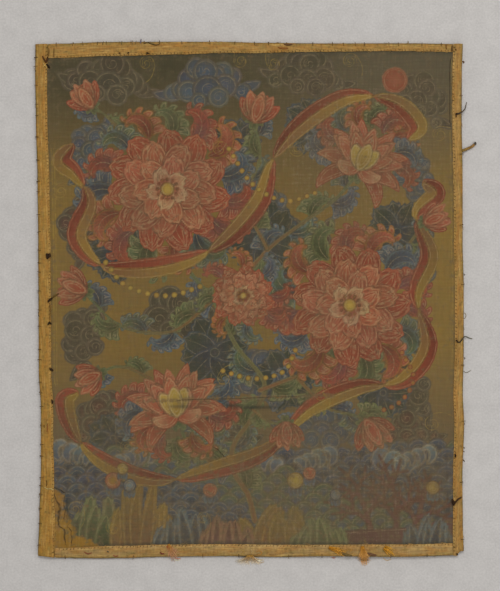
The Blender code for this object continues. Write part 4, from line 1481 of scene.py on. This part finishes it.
# Silk tufts: name, x and y of the middle of the root's upper side, root width and length, the strands'
# spread at their ends and reach past the root, heading in degrees from straight down the panel, number of
# strands, their thickness and waviness as shares of the usual, and the colours at the root and at the tips.
TUFTS = [
    ("tuft_bottom_1", -69.0, -205.2, 3.4, 6.4, 8.2, 11.4, 22, 72, 1.0, 1.0, "#b27826", "#dba67e"),
    ("tuft_bottom_2", -0.4, -214.6, 8.6, 3.0, 22.0, 7.8, 0, 140, 0.9, 1.1, "#bd8a30", "#f2e4c8"),
    ("tuft_bottom_3", 66.0, -208.0, 3.8, 4.6, 5.6, 13.0, 70, 62, 1.2, 0.5, "#bb7c14", "#d29a3c"),
    ("tuft_bottom_4", 94.2, -206.8, 4.6, 5.6, 9.0, 13.4, 9, 150, 1.1, 0.7, "#b67a18", "#dea862"),
    ("tuft_bottom_5", 112.6, -207.8, 6.6, 3.2, 7.0, 8.4, 56, 26, 2.2, 0.2, "#b67c18", "#d29e3e"),
]


class SCROLL_OT_tufts(bpy.types.Operator):
    """Make the loose silk tufts that are caught in the bottom seam"""
    bl_idname = "scroll.tufts"
    bl_label = "Silk tufts"

    def execute(self, context):
        floss = fibre("Loose silk floss", 0.5, 0.06)
        chance = np.random.default_rng(11)
        t = np.linspace(0, 1, 12)
        pale = t[:, None] ** 1.4
        for name, x0, y0, wide, long, spread, reach, heading, count, thick, waves, root, tip in TUFTS:
            turn = np.radians(heading)
            strands = Tubes(3)
            root_dye, tip_dye = np.array([linear(root), linear(tip)])
            for _ in range(count):
                side = chance.uniform(-0.5, 0.5)
                full = (long + reach) * chance.uniform(0.45, 1.03) * (1 - 0.4 * abs(side))
                swing = waves * chance.uniform(-1.3, 1.3)
                sway = swing * np.sin(t * chance.uniform(2, 6) + chance.uniform(0, 6)) * t
                curl = waves * chance.uniform(-2.4, 2.4) * t ** 3
                across = wide * side * (0.55 + 0.45 * t) + (spread - wide) * side * t ** 1.7 + sway + curl
                down = full * t - 0.25 * full * np.abs(curl) / 4
                x = x0 + across * np.cos(turn) + down * np.sin(turn)
                y = y0 + across * np.sin(turn) - down * np.cos(turn)
                radius = thick * sizes().hair_thickness / MM / 2 * (1 - 0.55 * t) * chance.uniform(0.7, 1.2)
                pile = chance.uniform(0, 0.9) * (1 - 0.6 * t)
                z = strand_height(x, y) + radius + pile + 0.1
                dye = root_dye * (1 - pale) * chance.uniform(0.5, 1.25)
                dye = dye + tip_dye * pale * chance.uniform(0.85, 1.3)
                strands.add(np.stack([x, y, z], 1), radius, dye)
            piece = strands.piece("silk_" + name, floss)
            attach(piece, "root")
            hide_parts(name)
        return {"FINISHED"}


# Thick thread ends: name, slot, diameters and colours at the root and at the tip, and a route of (x, y,
# height), the height from 0 on the surface to 1 on the tape's upper face.
THREADS = [
    ("thread_yellow_end", "yellow_yarn", 2.7, 2.2, "#7d6531", "#886334",
     [(178.2, 126.2, .26), (179.9, 126.7, .20), (182.6, 127.8, .08), (185.4, 129.0, 0), (188.2, 130.8, 0),
      (190.4, 133.2, 0)]),
    ("thread_dark_upper", "dark_thread", 1.6, 0.6, "#1e1006", "#6d6150",
     [(173.0, 157.0, 1), (175.4, 157.4, 1), (178.0, 158.6, 1), (180.2, 160.6, .75), (181.6, 163.0, .28),
      (182.2, 165.2, 0), (182.8, 167.4, 0)]),
    ("thread_dark_hook", "dark_thread", 1.3, 0.7, "#2b190b", "#5c5844",
     [(173.6, -33.2, 1), (174.8, -35.0, 1), (176.8, -34.8, 1), (178.8, -32.2, 1), (180.8, -30.4, .8),
      (182.6, -30.6, .28), (184.6, -31.6, 0), (187.4, -32.4, 0)]),
]
PLIES = 3
PLY_PITCH = 2.4  # length of one full twist, in diameters of the root
YARN_TIP = "#4a443a"  # the yellow yarn's end is soiled dark


class SCROLL_OT_thread_ends(bpy.types.Operator):
    """Make the thick thread ends at the right edge from three twisted plies each"""
    bl_idname = "scroll.thread_ends"
    bl_label = "Thread ends"

    def execute(self, context):
        for name, slot, thick_root, thick_tip, root, tip, route in THREADS:
            path = curve(route, 10 * len(route))
            share = np.linspace(0, 1, len(path))
            radius = (thick_root + (thick_tip - thick_root) * share) / 2
            raised = np.maximum(path[:, 2], 0) * (lift(path[:, 0], path[:, 1]) + STACK + GAP)
            path[:, 2] = raised + 1.12 * radius
            way = np.gradient(path, axis=0)
            way /= np.linalg.norm(way, axis=1, keepdims=True)
            side = np.cross(way, [0.0, 0.0, 1.0])
            above = np.cross(side, way)
            gone = np.r_[0, np.cumsum(np.linalg.norm(np.diff(path, axis=0), axis=1))]
            dye = np.array(linear(root)) * (1 - share[:, None]) + np.array(linear(tip)) * share[:, None]
            if slot == "yellow_yarn":
                soiled = smooth((share[:, None] - 0.84) / 0.05)
                dye = dye * (1 - soiled) + np.array(linear(YARN_TIP)) * soiled
            plies = Tubes(7)
            for ply in range(PLIES):
                turn = (gone / (PLY_PITCH * thick_root) * 2 * np.pi + ply * 2 * np.pi / PLIES)[:, None]
                centre = path + 0.48 * radius[:, None] * (np.cos(turn) * side + np.sin(turn) * above)
                plies.add(centre, radius * 0.56, dye * (0.85 + 0.15 * ply))
            made = fibre("Twisted yellow yarn" if slot == "yellow_yarn" else "Twisted dark thread", 0.7, 0.03)
            piece = plies.piece("twisted_" + name, made)
            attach(piece, "root")
            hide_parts(name)
        return {"FINISHED"}


# Loose dark threads and knots: diameter, colour, route of (x, y). They lie on whatever is under them.
DARK_BITS = [
    (0.8, "#2a1708", [(172.9, 157.0), (173.4, 155.6), (173.2, 154.2)]),
    (2.6, "#2c1a08", [(170.3, -167.8), (170.9, -170.2), (171.5, -172.4)]),
    (1.5, "#3a2410", [(171.6, -172.0), (173.2, -169.4), (175.2, -167.3), (177.9, -165.9)]),
    (1.5, "#24150a", [(172.5, -129.4), (172.8, -130.6), (172.5, -132.0)]),
    (0.6, "#4a3a22", [(180.4, -48.2), (181.4, -48.8), (180.8, -49.6)]),
    (0.5, "#6a6046", [(180.0, -59.6), (181.8, -60.8), (183.6, -60.6), (186.4, -58.9)]),
    (0.5, "#57472a", [(180.0, 22.4), (181.2, 22.0), (180.6, 21.0)]),
    (0.5, "#8a7a5c", [(179.8, -10.1), (181.6, -11.0), (182.2, -13.0), (181.2, -15.0), (179.9, -15.4)]),
    (0.9, "#3e2c16", [(179.8, -104.0), (181.2, -104.4)]),
    (0.7, "#4a371c", [(180.2, -124.0), (181.2, -124.9)]),
    (0.7, "#3c2a14", [(179.6, -127.2), (181.0, -127.8)]),
    (0.8, "#4b3820", [(178.6, -134.2), (180.2, -134.8), (181.0, -136.2)]),
    (1.1, "#5a3a20", [(179.2, 202.0), (180.4, 201.4), (179.9, 200.4)]),
    (3.0, "#2a1a0a", [(-171.2, 39.2), (-170.5, 37.4), (-170.8, 35.4)]),
    (2.6, "#36230e", [(-169.2, 39.4), (-168.9, 37.8), (-169.6, 36.4)]),
    (2.1, "#2a1a0a", [(-170.4, -1.2), (-168.9, 0.4), (-167.0, 2.0)]),
    (1.4, "#57411b", [(-167.8, 1.4), (-165.2, 3.7), (-161.4, 5.9)]),
    (0.9, "#6a4a1c", [(-168.8, -3.4), (-168.6, -9.0), (-168.8, -16.9)]),
    (1.7, "#2c1f08", [(-170.5, -20.6), (-169.2, -18.6), (-167.7, -19.9)]),
    (2.0, "#2b1b0c", [(-168.9, -57.2), (-166.4, -59.2)]),
    (1.7, "#2b1b0c", [(-167.2, -83.8), (-166.7, -85.2), (-167.0, -86.9)]),
    (0.9, "#7d4a20", [(-171.0, -103.6), (-170.8, -107.4), (-171.2, -110.8)]),
    (0.8, "#6a4a18", [(-173.7, -104.8), (-173.5, -107.0)]),
    (0.8, "#5a3c12", [(-172.0, -151.4), (-171.4, -154.0), (-171.8, -156.6)]),
    (1.5, "#46280e", [(-175.1, 205.8), (-173.6, 203.2), (-172.0, 200.8), (-171.2, 203.0), (-170.7, 205.4)]),
    (1.8, "#1e1208", [(-171.4, 199.0), (-170.2, 197.4), (-169.2, 196.0)]),
    (0.7, "#5a3d14", [(-169.6, 212.4), (-169.8, 205.8)]),
    (0.7, "#5a3d14", [(-165.4, 212.6), (-165.6, 205.0)]),
    (0.8, "#4a3b20", [(-181.9, 193.9), (-180.4, 193.2)]),
    (1.2, "#33240f", [(-178.2, -9.4), (-178.6, -11.4), (-178.0, -13.6)]),
    (0.6, "#4b3a1e", [(-178.8, 19.6), (-177.4, 19.4)]),
    (0.6, "#4b3a1e", [(-179.0, 8.9), (-177.6, 8.7)]),
    (0.9, "#4a3a1c", [(-89.4, 216.4), (-86.4, 217.4), (-83.4, 216.2), (-79.6, 215.2), (-76.6, 215.6)]),
    (1.1, "#4a2c18", [(22.0, 217.2), (24.0, 216.9)]),
    (1.3, "#5a3a22", [(28.4, 216.0), (31.6, 215.3), (35.4, 215.9)]),
    (1.3, "#8a5626", [(23.6, 213.2), (27.6, 212.4), (31.8, 212.6)]),
    (1.3, "#4a300c", [(-110.7, 208.4), (-109.4, 208.5)]),
    (1.4, "#33200a", [(-103.4, 208.4), (-102.1, 208.7)]),
    (1.6, "#2c1c08", [(-87.3, 208.5), (-85.6, 208.0)]),
    (1.1, "#6a6070", [(-92.3, 216.6), (-92.5, 218.6), (-92.2, 220.8)]),
    (0.8, "#7a6440", [(133.4, 216.0), (133.2, 219.2)]),
    (0.7, "#6b5a38", [(-108.5, 215.6), (-108.4, 219.2)]),
    (0.7, "#6b5a38", [(-99.2, 215.8), (-99.3, 219.6)]),
    (0.7, "#6b5a38", [(-96.5, 215.8), (-96.4, 219.4)]),
    (0.8, "#5b4a28", [(-128.9, 215.4), (-128.8, 218.6)]),
    (0.8, "#5b4a28", [(-124.3, 215.4), (-124.2, 218.8)]),
    (0.9, "#6a4116", [(164.9, 215.6), (165.2, 211.6)]),
    (1.1, "#4a2e12", [(170.0, 214.9), (169.8, 209.6)]),
    (1.1, "#5b3413", [(172.7, 211.6), (173.6, 210.9)]),
    (1.6, "#20140a", [(173.6, -213.0), (174.6, -213.8)]),
    (1.0, "#3b4038", [(-120.6, -211.4), (-119.2, -211.9)]),
    (2.3, "#664830", [(98.8, -212.6), (102.2, -213.7), (106.0, -214.4)]),
    (2.2, "#66522c", [(77.6, -213.0), (81.4, -214.2), (85.6, -214.9)]),
]
# The same for pale, yellow and red fibres.
SILK_BITS = [
    (0.9, "#9a3a22", [(-70.2, -206.6), (-69.6, -208.6)]),
    (1.1, "#6b2a1c", [(-76.0, -212.0), (-74.4, -213.4), (-72.6, -213.2)]),
    (0.9, "#b98475", [(68.8, -216.8), (70.4, -217.5), (71.8, -217.2)]),
    (0.8, "#c48874", [(-64.4, -216.4), (-62.2, -218.0), (-58.8, -217.9)]),
    (0.7, "#dcd4b0", [(-64.8, -218.2), (-62.4, -219.4), (-59.0, -219.0)]),
    (1.0, "#f1e6c8", [(3.2, -217.8), (6.4, -219.4), (9.8, -220.2)]),
    (0.9, "#7a3c22", [(-140.0, -211.8), (-136.8, -213.4), (-133.6, -212.6)]),
    (0.8, "#84452a", [(-115.6, -214.4), (-113.4, -215.6), (-111.4, -214.9)]),
    (0.6, "#ab8845", [(-8.4, -209.6), (-5.0, -211.8), (-7.2, -214.0), (-4.0, -214.8)]),
    (0.6, "#b59a66", [(0.2, -209.2), (1.4, -211.2), (0.8, -213.4)]),
    (0.7, "#a97430", [(4.6, -212.0), (7.4, -211.0), (9.8, -212.4), (8.0, -214.2), (5.4, -213.8)]),
    (0.6, "#c9b68c", [(4.6, -217.6), (8.0, -218.8), (11.6, -219.2)]),
    (0.6, "#c4a884", [(5.0, -220.0), (8.6, -221.6), (11.8, -220.6)]),
    (0.7, "#b8a468", [(-173.6, -157.4), (-170.8, -158.8), (-168.2, -158.6), (-165.8, -159.8)]),
    (0.8, "#bf9b57", [(-174.8, 200.6), (-173.6, 198.6), (-172.0, 197.2), (-171.4, 195.4)]),
    (0.8, "#b8924a", [(-171.9, 200.0), (-173.0, 198.4), (-174.4, 197.2), (-174.8, 195.6)]),
    (0.5, "#a87a30", [(79.6, -211.8), (82.6, -209.4), (85.4, -209.8), (83.6, -211.8)]),
    (0.5, "#cba364", [(112.0, -217.4), (115.0, -219.4), (119.0, -218.8)]),
]
LOOP_RADIUS = 0.26  # of the thread in the loops over the fold
LOOP_COLOUR = "#6b5028"
FRAY_RADIUS = 0.13  # of a loose fibre at its root, drawn coarse enough to show
FRAY_PITCH = 5.0  # there is one loose fibre for this much of the tape
FRAY_COLOUR = "#b08a4c"


class SCROLL_OT_loose_bits(bpy.types.Operator):
    """Make the knots, snipped threads and stray fibres left along the seams and edges"""
    bl_idname = "scroll.loose_bits"
    bl_label = "Loose bits"

    def execute(self, context):
        chance = np.random.default_rng(23)
        for name, slot, rows, made in (
            ("loose_dark_threads", "dark_thread", DARK_BITS, fibre("Snipped dark thread", 0.75, 0.02)),
            ("loose_silk_fibres", "orange_silk", SILK_BITS, fibre("Stray silk fibre", 0.55, 0.1)),
        ):
            bits = Tubes(6)
            for thick, code, route in rows:
                path = curve(route, 5 * len(route))
                share = np.linspace(-1, 1, len(path))
                radius = thick / 2 * (0.45 + 0.55 * np.sqrt(1 - 0.97 * share ** 2))
                z = resting_height(path[:, 0], path[:, 1]) + radius
                bits.add(np.column_stack([path, z]), radius, linear(code))
            if slot == "dark_thread":
                self.overcast(bits, chance)
            else:
                self.fray(bits, chance)
            piece = bits.piece(name, made)
            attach(piece, "root")
        return {"FINISHED"}

    def overcast(self, bits, chance):
        """What is left of a seam sewn over the folds: loops over the fold, far apart, some snapped open.

        A loop's points are distances in from the fold's outer face, and heights as shares of the stack.
        """
        for strip in STRIPS:
            gone = chance.uniform(4, 12)
            while gone < strip.length - 6:
                out, lean = chance.uniform(0.3, 1.1), chance.uniform(-0.8, 0.8)
                loop = curve([(2.4, 1.03), (0.9, 1.06), (-0.35 * out, 0.95), (-out, 0.62), (-0.7 * out, 0.26),
                              (0.1, 0.12)], 9)
                if chance.random() < 0.3:
                    loop = loop[:6]
                reach, share = loop.T
                x, y = strip.place((gone + lean * np.linspace(0, 1, len(reach))) / strip.length, reach)
                dye = np.array(linear(LOOP_COLOUR)) * chance.uniform(0.35, 1.1)
                bits.add(np.stack([x, y, lift(x, y) + STACK * share], 1), LOOP_RADIUS, dye)
                gone += chance.uniform(*strip.overcast)

    def fray(self, bits, chance):
        """Hair-fine fibres that lie loose along the tape's inner and outer edges."""
        t = np.linspace(0, 1, 7)
        for strip in STRIPS:
            for _ in range(int(strip.length / FRAY_PITCH)):
                start = chance.uniform(0.01, 0.99)
                long = chance.uniform(2.0, 5.5)
                _, flap = strip_edge(strip, start)
                outside = chance.random() < 0.4
                reach = (0.6 if outside else flap) + chance.uniform(-0.8, 0.6) + t * chance.uniform(-1.6, 1.2)
                x, y = strip.place(start + t * long / strip.length * chance.choice([-1, 1]), reach)
                z = resting_height(x, y) + 0.15 + 0.5 * np.sin(np.pi * t)
                dye = np.array(linear(FRAY_COLOUR)) * chance.uniform(0.5, 1.15)
                bits.add(np.stack([x, y, z], 1), FRAY_RADIUS * (1 - 0.5 * t), dye)


# ------------------------------------------------------------------ stage
FLOOR_HALF = 30000.0
FLOOR_DROP = 0.05  # the floor is this far below the panel's underside, in mm
STUDIO_LIGHT = 0.505  # strength of the white surroundings
VIEW_MIDDLE = (-0.25, 4.2)  # what the picture's centre looks at, in mm
VIEW_HEIGHT = 499.2  # what the picture's height shows, in mm
CAMERA_DISTANCE = 1500.0
SENSOR = 36.0
# Softboxes: name, watts, width, height and place in metres, and turns in radians.
SOFTBOXES = [
    ("top_softbox", 57.0, 1.8, 1.2, (0.1, 1.6, 3.4), (-0.44, 0.03, 0.0)),
    ("right_softbox", 5.0, 0.8, 1.6, (0.9, 0.0, 1.3), (0.0, 0.35, 0.0)),
]


class SCROLL_OT_stage(bpy.types.Operator):
    """Lay the paper floor, light it softly from the picture's top, and set the camera straight above"""
    bl_idname = "scroll.stage"
    bl_label = "Stage"

    def execute(self, context):
        corners = ((-1, -1), (1, -1), (1, 1), (-1, 1))
        points = [(x * FLOOR_HALF, y * FLOOR_HALF, -FLOOR_DROP) for x, y in corners]
        floor = put_mesh("floor", points, [[0, 1, 2, 3]], [paper()])

        camera = bpy.data.objects.new("camera", bpy.data.cameras.new("camera"))
        camera.location = (VIEW_MIDDLE[0] * MM, VIEW_MIDDLE[1] * MM, CAMERA_DISTANCE * MM)
        camera.data.sensor_width = SENSOR
        camera.data.lens = SENSOR * CAMERA_DISTANCE / VIEW_HEIGHT
        camera.data.clip_end = 100.0
        context.scene.collection.objects.link(camera)
        context.scene.camera = camera

        for name, watts, wide, high, place, turn in SOFTBOXES:
            lamp = bpy.data.lights.new(name, "AREA")
            lamp.energy = watts
            lamp.shape = "RECTANGLE"
            lamp.size, lamp.size_y = wide, high
            softbox = bpy.data.objects.new(name, lamp)
            softbox.location = place
            softbox.rotation_euler = turn
            context.scene.collection.objects.link(softbox)

        world = bpy.data.worlds.new("studio")
        world.use_nodes = True
        surroundings = world.node_tree.nodes["Background"].inputs
        surroundings["Color"].default_value = (1.0, 1.0, 1.0, 1.0)
        surroundings["Strength"].default_value = STUDIO_LIGHT
        context.scene.world = world
        context.scene.view_settings.view_transform = "Standard"
        return {"FINISHED"}


OPERATORS = (SCROLL_OT_cloth, SCROLL_OT_tape, SCROLL_OT_stitches, SCROLL_OT_tufts, SCROLL_OT_thread_ends,
             SCROLL_OT_loose_bits, SCROLL_OT_stage)


class VIEW3D_PT_scroll_panel(bpy.types.Panel):
    """Lists the pieces and their sizes and colours"""
    bl_label = "Scroll Panel"
    bl_space_type = "VIEW_3D"
    bl_region_type = "UI"
    bl_category = "Scroll Panel"

    def draw(self, context):
        for operator in OPERATORS:
            self.layout.operator(operator.bl_idname)
        for settings in (context.scene.scroll_sizes, context.scene.scroll_colours):
            box = self.layout.box()
            for key in settings.__annotations__:
                box.prop(settings, key)


CLASSES = (ScrollSizes, ScrollColours, *OPERATORS, VIEW3D_PT_scroll_panel)


def register():
    for kind in CLASSES:
        bpy.utils.register_class(kind)
    bpy.types.Scene.scroll_sizes = bpy.props.PointerProperty(type=ScrollSizes)
    bpy.types.Scene.scroll_colours = bpy.props.PointerProperty(type=ScrollColours)


def unregister():
    del bpy.types.Scene.scroll_colours
    del bpy.types.Scene.scroll_sizes
    for kind in reversed(CLASSES):
        bpy.utils.unregister_class(kind)


def main():
    register()
    for operator in OPERATORS:
        getattr(bpy.ops.scroll, operator.bl_idname.split(".")[1])()


if __name__ == "__main__":
    main()
